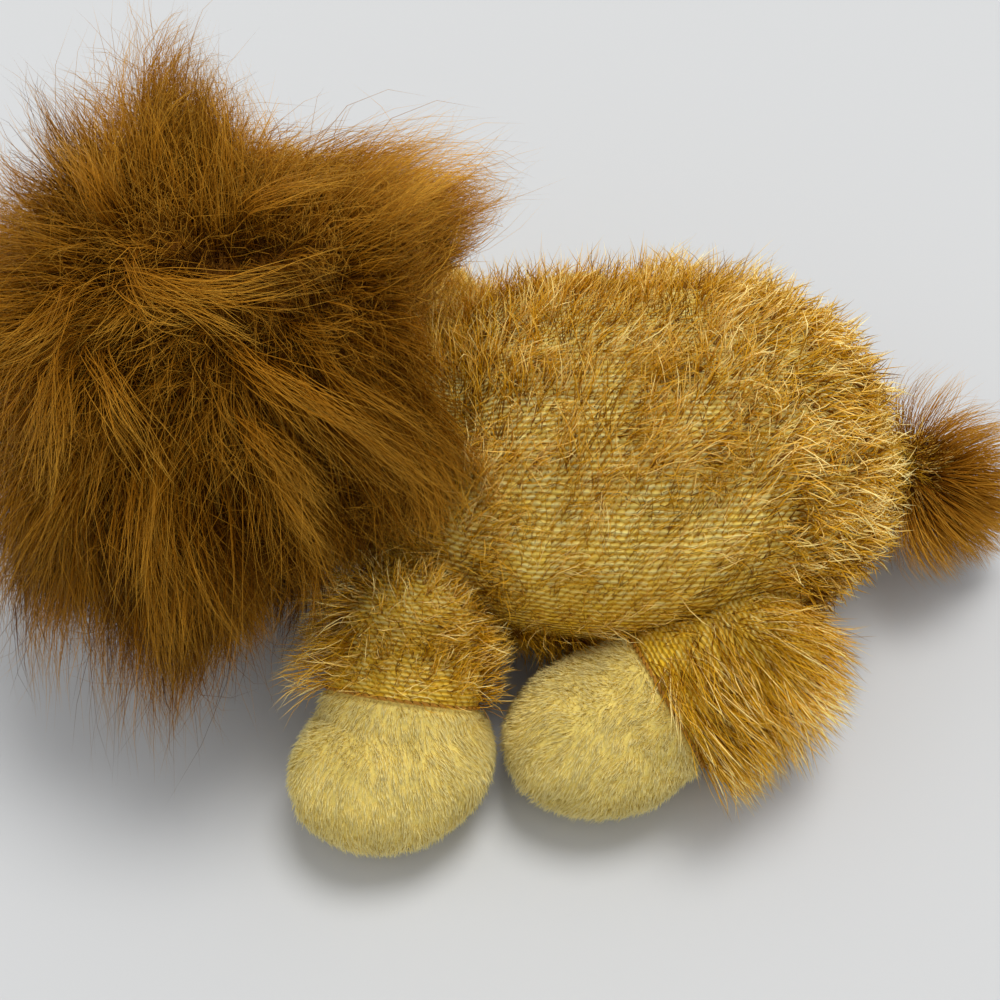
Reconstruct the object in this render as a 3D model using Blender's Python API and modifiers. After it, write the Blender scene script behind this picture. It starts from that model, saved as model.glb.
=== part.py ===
# Plush lion lying on its belly with its head turned to its right.
# The lion faces -X, its left side is -Y, +Z is up, and the origin is under the belly on the floor.
# Every soft form is built twice or three times with a growing inset: cloth outside, cloth inside, filling.
# Units are metres.

from math import asin, atan2, cos, exp, pi, radians, sin, sqrt, tan

import bmesh
import bpy
from mathutils import Matrix, Vector

# Cloth and clearances
SKIN = 0.0018
GAP = 0.0003
OVERRUN = 0.010
SEAT_CUT = 0.0005

# Body
RUMP_X = 0.047
CHEST_X = -0.040
CHEST_Z = 0.033
BODY_WIDTH = 0.076
BODY_HEIGHT = 0.0625
BELLY_SEAM_Z = 0.009
PELLET_BAG_LENGTH = 0.052
PELLET_BAG_WIDTH = 0.036
PELLET_BAG_HEIGHT = 0.012

# Head and neck
HEAD_X = -0.074
HEAD_Z = 0.060
HEAD_FILLING_RADIUS = 0.026
NECK_RADIUS = 0.0156
NECK_BORE_RADIUS = 0.0163
MANE_RADIUS = 0.044
MANE_COLLAR_DEPTH = 0.033
FACE_HALF_ANGLE = radians(50)
LOOK_TURN = radians(75)
LOOK_DOWN = radians(10)

# Snout
SNOUT_OUT = 0.0265
SNOUT_DROP = 0.0060
SNOUT_HALF_WIDTH = 0.0125
SNOUT_HALF_DEPTH = 0.0110
SNOUT_HALF_HEIGHT = 0.0092
SNOUT_GROOVE_DEPTH = 0.0009
SNOUT_GROOVE_WIDTH = 0.0022
CHIN_OUT = 0.0250
CHIN_DROP = 0.0168
CHIN_HALF_WIDTH = 0.0072
CHIN_HALF_DEPTH = 0.0075
CHIN_HALF_HEIGHT = 0.0048
NOSE_RADIUS = 0.0052
NOSE_THICKNESS = 0.0034
NOSE_RISE = 0.0030

# Eyes
EYE_RADIUS = 0.0033
EYE_BULGE = 0.0024
EYE_SIDE_ANGLE = radians(23)
EYE_RISE_ANGLE = radians(17)

# Stems and locking washers
STEM_RADIUS = 0.0011
STEM_HOLE_RADIUS = 0.0014
STEM_LENGTH = 0.0046
WASHER_RADIUS = 0.0033
WASHER_THICKNESS = 0.0008
WASHER_BORE_RADIUS = 0.0014
WASHER_DROP = 0.0008

# Ears
EAR_HALF_WIDTH = 0.0085
EAR_HALF_THICKNESS = 0.0026
EAR_HALF_HEIGHT = 0.0090
EAR_LINING_INSET = 0.0016
EAR_SEAT_RADIUS = 0.0325
EAR_TILT_ANGLE = radians(42)
EAR_SPREAD_ANGLE = radians(46)

# Legs: the hip is the centre of the round root, the paw point is the centre of the paw
LEG_ROOT_RADIUS = 0.0130
LEG_HALF_WIDTH = 0.0150
LEG_HALF_HEIGHT = 0.0130
ANKLE_OUT = 0.0125
PAW_HALF_LENGTH = 0.0185
PAW_HALF_WIDTH = 0.0150
PAW_HALF_HEIGHT = 0.0135
SOLE_SEAM_Z = 0.0050
FRONT_HIP = Vector((-0.0430, 0.0360, 0.0265))
FRONT_PAW = Vector((-0.0465, 0.0565, PAW_HALF_HEIGHT - SEAT_CUT))
FRONT_PAW_TURN = radians(22)
REAR_HIP = Vector((0.0190, 0.0385, 0.0225))
REAR_PAW = Vector((-0.0075, 0.0500, PAW_HALF_HEIGHT - SEAT_CUT))
REAR_PAW_TURN = radians(14)
REAR_ANKLE_OUT = 0.0180

# Tail
TAIL_HINGE = Vector((0.0475, 0.0030, 0.0290))
TAIL_ROOT_RADIUS = 0.0048
TAIL_SLEEVE_RADIUS = 0.0040
TAIL_SLEEVE_LENGTH = 0.0120
TAIL_TIP = Vector((0.0770, 0.0020, 0.0085))
TUFT_START = 0.0030
TUFT_HALF_WIDTH = 0.0150
TUFT_HALF_HEIGHT = 0.0105

# Facets
RING_SIDES = 12
INNER_RING_SIDES = 8
LEG_SIDES = 8
INNER_LEG_SIDES = 6
BALL_SEGMENTS = 16
BALL_RINGS = 10
SMALL_SEGMENTS = 12
SMALL_RINGS = 6
WASHER_SEGMENTS = 10
SNOUT_INNER_SEGMENTS = 14
FACE_SEGMENTS = 22
MANE_RINGS = 14
ARC_STEPS = 6
NECK_SEGMENTS = 20
FACE_CONE_SEGMENTS = 24
FACE_ROOM_RINGS = 14
STEM_SEGMENTS = 10
EYE_SEGMENTS = 14
EYE_ARC_STEPS = 3
TAIL_SEGMENTS = 12
TAIL_ROOT_RINGS = 8
SMOOTH_ANGLE = radians(50)

# Body stations: x from rump (0) to chest (1), centre height, half width and half height, each a share
BODY_STATION_SHARES = (
    (0.015, 0.46, 0.34, 0.34),
    (0.080, 0.50, 0.62, 0.68),
    (0.260, 0.515, 0.90, 0.95),
    (0.520, 0.495, 1.00, 1.00),
    (0.780, 0.505, 0.94, 0.98),
)
CHEST_WIDTH_SHARE = 0.80
CHEST_HEIGHT_SHARE = 0.84
# Neck stations: distance from the head's centre in neck bore radii, and radius in neck radii
NECK_STATION_SHARES = ((2.35, 1.42), (2.00, 1.04), (1.60, 1.00), (1.25, 1.00))
BELLY_SQUARE_SHARE = 0.72

# Sleeve stations along the leg from hip (0) to ankle (1): half width and half height of the leg
SLEEVE_STATION_SHARES = ((-0.25, 0.80, 0.88), (0.25, 0.90, 0.97), (0.70, 0.99, 1.00), (1.30, 1.00, 0.98))

# Tuft stations from its start (0) to the tip (1): half width, half height and sag towards the floor
TUFT_STATION_SHARES = (
    (0.00, 0.58, 0.62, 0.00),
    (0.25, 0.92, 1.00, 0.10),
    (0.55, 1.00, 0.86, 0.18),
    (0.85, 0.74, 0.50, 0.12),
    (1.00, 0.36, 0.24, 0.00),
)

# The mane's outline from its near side, where the crown is: its reach at equal turns from +X towards the
# top, a share of the mane radius, and the reach at the middle of the near side and of the far side
MANE_OUTLINE_SHARES = (
    0.74, 0.76, 0.98, 1.16, 0.98, 0.88, 0.86,
    1.10, 1.16, 1.12, 1.12, 1.04, 1.10, 1.08,
    1.13, 1.15, 1.06, 1.16, 1.24, 1.06, 1.16,
    1.06, 0.94, 0.87, 0.90, 1.02, 1.10, 0.92,
)
MANE_NEAR_SHARE = 0.88
MANE_FAR_SHARE = 0.96
MANE_NEAR_SIDE = Vector((0, -0.616, 0.788)).normalized()

# Colours: red, green, blue, roughness
FINISHES = {
    "shaggy_gold": (0.62, 0.36, 0.07, 0.55),
    "mane_brown": (0.33, 0.15, 0.03, 0.60),
    "short_gold": (0.66, 0.42, 0.12, 0.80),
    "paw_yellow": (0.84, 0.68, 0.28, 0.85),
    "cream": (0.88, 0.80, 0.62, 0.85),
    "filling_white": (0.85, 0.85, 0.83, 0.90),
    "pellet_cloth": (0.75, 0.74, 0.70, 0.85),
    "eye_black": (0.02, 0.015, 0.01, 0.12),
    "nose_black": (0.05, 0.03, 0.025, 0.25),
    "washer_white": (0.80, 0.80, 0.78, 0.45),
}

HEAD_CENTRE = Vector((HEAD_X, 0, HEAD_Z))
NECK_OUT = (HEAD_CENTRE - Vector((CHEST_X, 0, CHEST_Z))).normalized()
HEAD_CLOTH_INSIDE = HEAD_FILLING_RADIUS + GAP
FACE_RADIUS = HEAD_CLOTH_INSIDE + SKIN


def clear_scene():
    for item in list(bpy.data.objects):
        bpy.data.objects.remove(item, do_unlink=True)


def new_collection(name):
    collection = bpy.data.collections.new(name)
    bpy.context.scene.collection.children.link(collection)
    return collection


def finish_material(name):
    red, green, blue, roughness = FINISHES[name]
    material = bpy.data.materials.get(name)
    if material is None:
        material = bpy.data.materials.new(name)
        material.use_nodes = True
        shader = material.node_tree.nodes["Principled BSDF"]
        shader.inputs["Base Color"].default_value = (red, green, blue, 1)
        shader.inputs["Roughness"].default_value = roughness
        shader.inputs["Metallic"].default_value = 0
    return material


clear_scene()
LION = new_collection("plush_lion")
CUTTERS = new_collection("cutters")


def hide_as_cutter(item):
    item.hide_render = True
    item.display_type = "WIRE"
    return item


def mesh_object(name, bm, collection):
    mesh = bpy.data.meshes.new(name)
    bm.to_mesh(mesh)
    bm.free()
    item = bpy.data.objects.new(name, mesh)
    collection.objects.link(item)
    return item


def cutter_object(name, bm):
    return hide_as_cutter(mesh_object(name, bm, CUTTERS))


def frozen_mesh(item):
    bpy.context.view_layer.update()
    graph = bpy.context.evaluated_depsgraph_get()
    return bpy.data.meshes.new_from_object(item.evaluated_get(graph))


def freeze(item):
    mesh = frozen_mesh(item)
    item.modifiers.clear()
    item.data = mesh
    return item


def boolean(item, other, operation):
    modifier = item.modifiers.new(operation.lower() + " " + other.name, "BOOLEAN")
    modifier.operation = operation
    modifier.solver = "EXACT"
    modifier.object = other
    return item


def cut(item, *others):
    for other in others:
        boolean(item, other, "DIFFERENCE")
    return item


def copy_of(item, name):
    twin = item.copy()
    twin.data = item.data.copy()
    twin.name = name
    CUTTERS.objects.link(twin)
    return twin


def frame_matrix(centre, along, side_hint):
    # Local Z runs along, local X stays close to side_hint.
    axis_z = along.normalized()
    axis_y = axis_z.cross(side_hint).normalized()
    axis_x = axis_y.cross(axis_z)
    turn = Matrix((axis_x, axis_y, axis_z)).transposed()
    return Matrix.Translation(centre) @ turn.to_4x4()


def ball_mesh(radii, segments, rings, matrix):
    bm = bmesh.new()
    bmesh.ops.create_uvsphere(bm, u_segments=segments, v_segments=rings, radius=1)
    bmesh.ops.scale(bm, vec=radii, verts=bm.verts)
    bmesh.ops.transform(bm, matrix=matrix, verts=bm.verts)
    return bm


def ball(name, radius, centre, segments=BALL_SEGMENTS, rings=BALL_RINGS):
    radii = (radius, radius, radius)
    return cutter_object(name, ball_mesh(radii, segments, rings, Matrix.Translation(centre)))


def flat_radius(radius, segments, rings):
    # The corner radius of a faceted ball whose flats, and not its corners, are at the radius.
    return radius / cos(pi / segments) / cos(pi / 2 / rings)


def room(name, radius, centre, segments=BALL_SEGMENTS, rings=BALL_RINGS):
    # A ball that is cut out, so that a round piece of the radius fits inside its flats.
    return ball(name, flat_radius(radius, segments, rings), centre, segments, rings)


def rod_mesh(radius, start, end, segments=WASHER_SEGMENTS, end_radius=None):
    bm = bmesh.new()
    along = end - start
    bmesh.ops.create_cone(
        bm,
        cap_ends=True,
        segments=segments,
        radius1=radius,
        radius2=radius if end_radius is None else end_radius,
        depth=along.length,
    )
    middle = (start + end) / 2
    hint = Vector((0, 0, 1)) if abs(along.normalized().z) < cos(pi / 4) else Vector((1, 0, 0))
    bmesh.ops.transform(bm, matrix=frame_matrix(middle, along, hint), verts=bm.verts)
    return bm


def rod(name, radius, start, end, segments=WASHER_SEGMENTS, end_radius=None):
    return cutter_object(name, rod_mesh(radius, start, end, segments, end_radius))


def slab(name, low, high):
    # A box between two corners, used to keep or remove one side of a seam.
    bm = bmesh.new()
    bmesh.ops.create_cube(bm, size=1)
    size = high - low
    bmesh.ops.scale(bm, vec=size, verts=bm.verts)
    bmesh.ops.translate(bm, vec=(low + high) / 2, verts=bm.verts)
    return cutter_object(name, bm)


def beyond_plane(name, point, normal, reach):
    # A block whose near face passes through the point and which lies on the side of the normal.
    bm = bmesh.new()
    bmesh.ops.create_cube(bm, size=1)
    bmesh.ops.scale(bm, vec=(reach, reach, reach), verts=bm.verts)
    bmesh.ops.translate(bm, vec=(0, 0, reach / 2), verts=bm.verts)
    hint = Vector((1, 0, 0)) if abs(normal.normalized().x) < cos(pi / 4) else Vector((0, 1, 0))
    bmesh.ops.transform(bm, matrix=frame_matrix(point, normal, hint), verts=bm.verts)
    return cutter_object(name, bm)


def turned(name, profile, matrix, steps, collection=None):
    # A profile of (radius, height) that runs down its outer side, turned about local Z.
    bm = bmesh.new()
    points = [bm.verts.new((radius, 0, height)) for radius, height in profile]
    closed = profile[0][0] > 0
    pairs = list(zip(points, points[1:]))
    if closed:
        pairs.append((points[-1], points[0]))
    for first, second in pairs:
        bm.edges.new((first, second))
    item = mesh_object(name, bm, collection or CUTTERS)
    if collection is None:
        hide_as_cutter(item)
    screw = item.modifiers.new("turn", "SCREW")
    screw.axis = "Z"
    screw.steps = steps
    screw.render_steps = steps
    screw.use_merge_vertices = True
    screw.merge_threshold = 0.00001
    item.matrix_world = matrix
    freeze(item)
    item.data.transform(matrix)
    item.matrix_world = Matrix.Identity(4)
    return item


def ring_share(sides):
    # How far one Subdivision level draws a ring of so many sides inside its cage.
    return (3 + cos(2 * pi / sides)) / 4


def soft_form(name, stations, sides=RING_SIDES, square_share=1.0):
    # A cage of rings through the stations, rounded by one level of Subdivision Surface.
    # A station is its centre, its width direction, its height direction and its two half sizes.
    bm = bmesh.new()
    rings = []
    for centre, wide, high, half_width, half_height in stations:
        loop = bmesh.ops.create_circle(bm, cap_ends=False, segments=sides, radius=1)["verts"]
        for number, vertex in enumerate(loop):
            angle = 2 * pi * number / sides
            across = cos(angle)
            rise = sin(angle)
            if rise < 0:
                across = abs(across) ** square_share * (1 if across > 0 else -1)
                rise = -abs(rise) ** square_share
            offset = wide * (across * half_width) + high * (rise * half_height)
            vertex.co = centre + offset / ring_share(sides)
        rings.append(loop)
    for first, second in zip(rings, rings[1:]):
        for number in range(sides):
            after = (number + 1) % sides
            bm.faces.new((first[number], first[after], second[after], second[number]))
    for edge in [edge for edge in bm.edges if not edge.link_faces]:
        bm.edges.remove(edge)
    bm.faces.new(list(reversed(rings[0])))
    bm.faces.new(rings[-1])
    bmesh.ops.recalc_face_normals(bm, faces=bm.faces)
    item = cutter_object(name, bm)
    rounding = item.modifiers.new("round", "SUBSURF")
    rounding.levels = 1
    rounding.render_levels = 1
    # The same diagonals in each form keep the filling inside its cloth.
    triangles = item.modifiers.new("triangles", "TRIANGULATE")
    triangles.quad_method = "FIXED"
    triangles.ngon_method = "CLIP"
    return freeze(item)


def pivot(name, place):
    empty = bpy.data.objects.new(name, None)
    empty.empty_display_size = OVERRUN
    LION.objects.link(empty)
    empty.location = place
    return empty


def piece(name, form, finish, carrier):
    # Moves a finished form under the empty on its joint's axis and gives it its cloth or plastic.
    mesh = frozen_mesh(form)
    mesh.name = name
    mesh.transform(Matrix.Translation(-carrier.location))
    item = bpy.data.objects.new(name, mesh)
    LION.objects.link(item)
    item.parent = carrier
    mesh.materials.clear()
    mesh.materials.append(finish_material(finish))
    mesh.shade_smooth()
    mesh.set_sharp_from_angle(angle=SMOOTH_ANGLE)
    bpy.data.objects.remove(form, do_unlink=True)
    return item


def body_stations(inset):
    length = RUMP_X - CHEST_X
    side = Vector((0, 1, 0))
    stations = []
    for x_share, z_share, width_share, height_share in BODY_STATION_SHARES:
        centre = Vector((RUMP_X - x_share * length, 0, z_share * BODY_HEIGHT - SEAT_CUT))
        if not stations:
            centre.x -= inset
        half_width = width_share * BODY_WIDTH / 2 - inset
        half_height = height_share * BODY_HEIGHT / 2 - inset
        stations.append((centre, side, Vector((0, 0, 1)), half_width, half_height))
    neck_high = Vector((-NECK_OUT.z, 0, NECK_OUT.x)) * -1
    chest_high = (neck_high + Vector((0, 0, 1))).normalized()
    chest_half_width = CHEST_WIDTH_SHARE * BODY_WIDTH / 2 - inset
    chest_half_height = CHEST_HEIGHT_SHARE * BODY_HEIGHT / 2 - inset
    chest = Vector((CHEST_X, 0, CHEST_Z))
    stations.append((chest, side, chest_high, chest_half_width, chest_half_height))
    for reach_share, radius_share in NECK_STATION_SHARES:
        centre = HEAD_CENTRE - NECK_OUT * (reach_share * NECK_BORE_RADIUS)
        radius = radius_share * NECK_RADIUS - inset
        stations.append((centre, side, neck_high, radius, radius))
    return stations


def head_room(name, sphere_radius, bore_radius, collar_depth):
    # What the turning head sweeps: everything before the collar plane, apart from the neck.
    far = MANE_RADIUS + 3 * OVERRUN
    radius = flat_radius(sphere_radius, NECK_SEGMENTS, 2 * NECK_SEGMENTS)
    profile = arc(radius, 0, asin(bore_radius / radius), ARC_STEPS)
    profile += [(bore_radius, collar_depth), (far, collar_depth), (far, -far), (0, -far)]
    matrix = frame_matrix(HEAD_CENTRE, -NECK_OUT, Vector((0, 1, 0)))
    return turned(name, profile, matrix, NECK_SEGMENTS)


def leg_points(front, side):
    hip = (FRONT_HIP if front else REAR_HIP).copy()
    paw = (FRONT_PAW if front else REAR_PAW).copy()
    hip.y *= side
    paw.y *= side
    return hip, paw


def build_body(carrier, sockets):
    outer = soft_form("body_outer_form", body_stations(0), square_share=BELLY_SQUARE_SHARE)
    inner = soft_form("body_inner_form", body_stations(SKIN), INNER_RING_SIDES, BELLY_SQUARE_SHARE)
    filling_stations = body_stations(SKIN + GAP)
    filling = soft_form("body_filling_form", filling_stations, INNER_RING_SIDES, BELLY_SQUARE_SHARE)
    front_room = head_room("head_room", HEAD_CLOTH_INSIDE, NECK_RADIUS + GAP, MANE_COLLAR_DEPTH + GAP)
    far = 2 * (RUMP_X - HEAD_X)
    floor = slab("floor_cut", Vector((-far, -far, -far)), Vector((far, far, 0)))
    filling_floor_z = SKIN + GAP
    filling_floor = slab("filling_floor_cut", Vector((-far, -far, -far)), Vector((far, far, filling_floor_z)))
    inner_floor = slab("inner_floor_cut", Vector((-far, -far, -far)), Vector((far, far, SKIN)))
    cut(inner, inner_floor)
    freeze(inner)
    half_gap = GAP / 2
    above_z = BELLY_SEAM_Z + half_gap
    left_side = slab("left_side", Vector((-far, -far, above_z)), Vector((far, -half_gap, far)))
    right_side = slab("right_side", Vector((-far, half_gap, above_z)), Vector((far, far, far)))
    under_side = slab("under_side", Vector((-far, -far, 0)), Vector((far, far, BELLY_SEAM_Z - half_gap)))
    for name, region in (
        ("torso_left_panel", left_side),
        ("torso_right_panel", right_side),
        ("belly_panel", under_side),
    ):
        panel = boolean(copy_of(outer, name + "_form"), region, "INTERSECT")
        cut(panel, floor, inner, front_room, *sockets)
        piece(name, panel, "shaggy_gold", carrier)

    bag_centre = Vector((0, 0, filling_floor_z + PELLET_BAG_HEIGHT / 2))
    bag_radii = (PELLET_BAG_LENGTH / 2, PELLET_BAG_WIDTH / 2, PELLET_BAG_HEIGHT / 2)
    bag_mesh = ball_mesh(bag_radii, BALL_SEGMENTS, SMALL_RINGS, Matrix.Translation(bag_centre))
    bag = cutter_object("pellet_bag_form", bag_mesh)
    freeze(boolean(bag, copy_of(filling, "bag_room"), "INTERSECT"))
    pocket_radii = tuple(radius + GAP for radius in bag_radii)
    pocket_mesh = ball_mesh(pocket_radii, BALL_SEGMENTS, SMALL_RINGS, Matrix.Translation(bag_centre))
    below = [vertex for vertex in pocket_mesh.verts if vertex.co.z < bag_centre.z - GAP]
    for vertex in below:
        vertex.co.z -= PELLET_BAG_HEIGHT
    pocket = cutter_object("pellet_pocket", pocket_mesh)
    stuffing = cut(filling, filling_floor, front_room, pocket, *sockets)
    piece("torso_stuffing", stuffing, "filling_white", carrier)
    piece("pellet_bag", bag, "pellet_cloth", carrier)


def sleeve_form(name, hip, paw, ankle_out, inset):
    along = (paw - hip).normalized()
    wide = Vector((0, 0, 1)).cross(along).normalized()
    high = along.cross(wide)
    stations = []
    for reach_share, width_share, height_share in SLEEVE_STATION_SHARES:
        centre = hip + along * (reach_share * ankle_out)
        half_width = width_share * LEG_HALF_WIDTH - inset
        half_height = height_share * LEG_HALF_HEIGHT - inset
        if reach_share < 0:
            half_width = width_share * LEG_ROOT_RADIUS - inset
            half_height = height_share * LEG_ROOT_RADIUS - inset
        stations.append((centre, wide, high, half_width, half_height))
    tube = soft_form(name, stations, INNER_LEG_SIDES if inset else LEG_SIDES)
    root_segments = SMALL_SEGMENTS if inset else BALL_SEGMENTS
    root = ball(name + "_root", LEG_ROOT_RADIUS - inset, hip, root_segments, root_segments // 2)
    boolean(tube, root, "UNION")
    return freeze(tube)


def paw_form(name, paw, turn, inset):
    radii = (PAW_HALF_LENGTH - inset, PAW_HALF_WIDTH - inset, PAW_HALF_HEIGHT - inset)
    matrix = Matrix.Translation(paw) @ Matrix.Rotation(turn, 4, "Z")
    segments = SMALL_SEGMENTS if inset else BALL_SEGMENTS
    return cutter_object(name, ball_mesh(radii, segments, segments // 2, matrix))


def build_leg(name, front, side, carrier, body_form):
    hip, paw = leg_points(front, side)
    turn = (FRONT_PAW_TURN if front else REAR_PAW_TURN) * -side
    ankle_out = ANKLE_OUT if front else REAR_ANKLE_OUT
    along = (paw - hip).normalized()
    ankle = hip + along * ankle_out
    far = 3 * PAW_HALF_LENGTH
    half_gap = GAP / 2
    seam_gap = along * half_gap
    foot_side = beyond_plane(name + "_foot_side", ankle - seam_gap, along, far)
    hip_side = beyond_plane(name + "_hip_side", ankle + seam_gap, -along, far)
    low = Vector((-far, -far, -far))
    high = Vector((far, far, 0))
    floor = slab(name + "_floor", paw + low, Vector((paw.x, paw.y, 0)) + high)
    inner_floor = slab(name + "_inner_floor", paw + low, Vector((paw.x, paw.y, SKIN)) + high)
    fill_floor = slab(name + "_fill_floor", paw + low, Vector((paw.x, paw.y, SKIN + GAP)) + high)
    upper_cut = slab(name + "_upper_cut", paw + low, Vector((paw.x, paw.y, SOLE_SEAM_Z + half_gap)) + high)
    sole_top = Vector((paw.x, paw.y, SOLE_SEAM_Z - half_gap))
    sole_keep = slab(name + "_sole_keep", Vector((paw.x, paw.y, 0)) + Vector((-far, -far, 0)), sole_top + high)

    outer_sleeve = sleeve_form(name + "_outer_sleeve", hip, paw, ankle_out, 0)
    inner_sleeve = sleeve_form(name + "_inner_sleeve", hip, paw, ankle_out, SKIN)
    fill_sleeve = sleeve_form(name + "_fill_sleeve", hip, paw, ankle_out, SKIN + GAP)
    outer_paw = paw_form(name + "_outer_paw", paw, turn, 0)
    inner_paw = paw_form(name + "_inner_paw", paw, turn, SKIN)
    fill_paw = paw_form(name + "_fill_paw", paw, turn, SKIN + GAP)
    freeze(cut(inner_paw, inner_floor))

    sleeve = cut(outer_sleeve, inner_sleeve, foot_side, floor, body_form)
    piece(name + "_sleeve", sleeve, "shaggy_gold", carrier)
    shell = freeze(cut(outer_paw, floor, inner_paw, hip_side, body_form))
    sole = boolean(copy_of(shell, name + "_sole_form"), sole_keep, "INTERSECT")
    upper = cut(copy_of(shell, name + "_upper_form"), upper_cut)
    piece(name + "_paw_upper", upper, "paw_yellow", carrier)
    piece(name + "_paw_sole", sole, "paw_yellow", carrier)
    fill_lap = along * (half_gap / 2)
    fill_foot_side = beyond_plane(name + "_fill_foot_side", ankle + fill_lap, along, far)
    fill_hip_side = beyond_plane(name + "_fill_hip_side", ankle - fill_lap, -along, far)
    hip_part = freeze(cut(fill_sleeve, fill_foot_side, body_form))
    foot_part = freeze(cut(fill_paw, fill_floor, fill_hip_side, body_form))
    filling = boolean(hip_part, foot_part, "UNION")
    piece(name + "_filling", filling, "filling_white", carrier)


def head_frame():
    # Local Y looks out of the face, local Z is the top of the head, local X the lion's right.
    forward = Vector((-cos(LOOK_TURN) * cos(LOOK_DOWN), sin(LOOK_TURN) * cos(LOOK_DOWN), -sin(LOOK_DOWN)))
    right = forward.cross(Vector((0, 0, 1))).normalized()
    top = right.cross(forward)
    turn = Matrix((right, forward, top)).transposed()
    return Matrix.Translation(HEAD_CENTRE) @ turn.to_4x4()


def forward_matrix(frame):
    # Turned forms have their axis on local Z, so this brings local Z onto the look direction.
    return frame @ Matrix.Rotation(-pi / 2, 4, "X")


def arc(radius, start, end, steps):
    points = []
    for number in range(steps + 1):
        angle = start + (end - start) * number / steps
        points.append((radius * sin(angle), radius * cos(angle)))
    return points


def snout_ball(name, frame, inset):
    radii = (SNOUT_HALF_WIDTH - inset, SNOUT_HALF_DEPTH - inset, SNOUT_HALF_HEIGHT - inset)
    segments = SNOUT_INNER_SEGMENTS if inset > 0 else BALL_SEGMENTS
    bm = ball_mesh(radii, segments, segments // 2, Matrix.Identity(4))
    for vertex in bm.verts:
        if vertex.co.y > 0 and vertex.co.z < 0 and inset <= 0:
            depth_share = vertex.co.y / radii[1]
            groove = SNOUT_GROOVE_DEPTH * exp(-((vertex.co.x / SNOUT_GROOVE_WIDTH) ** 2))
            vertex.co.y -= groove * depth_share
    place = frame @ Matrix.Translation((0, SNOUT_OUT, -SNOUT_DROP))
    bmesh.ops.transform(bm, matrix=place, verts=bm.verts)
    return cutter_object(name, bm)


def mane_form():
    # A ball with its pole on the near side, so that each of its meridians follows one share of the outline.
    segments = len(MANE_OUTLINE_SHARES)
    radii = (MANE_RADIUS, MANE_RADIUS, MANE_RADIUS)
    bm = ball_mesh(radii, segments, MANE_RINGS, Matrix.Identity(4))
    place = frame_matrix(HEAD_CENTRE, MANE_NEAR_SIDE, Vector((1, 0, 0)))
    for vertex in bm.verts:
        way = vertex.co.normalized()
        meridian = round(atan2(way.y, way.x) / (2 * pi) * segments) % segments
        middle_share = MANE_NEAR_SHARE if way.z > 0 else MANE_FAR_SHARE
        reach = middle_share + (MANE_OUTLINE_SHARES[meridian] - middle_share) * (1 - way.z**2)
        vertex.co = way * (MANE_RADIUS * reach)
    bmesh.ops.transform(bm, matrix=place, verts=bm.verts)
    return cutter_object("mane_form", bm)


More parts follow.
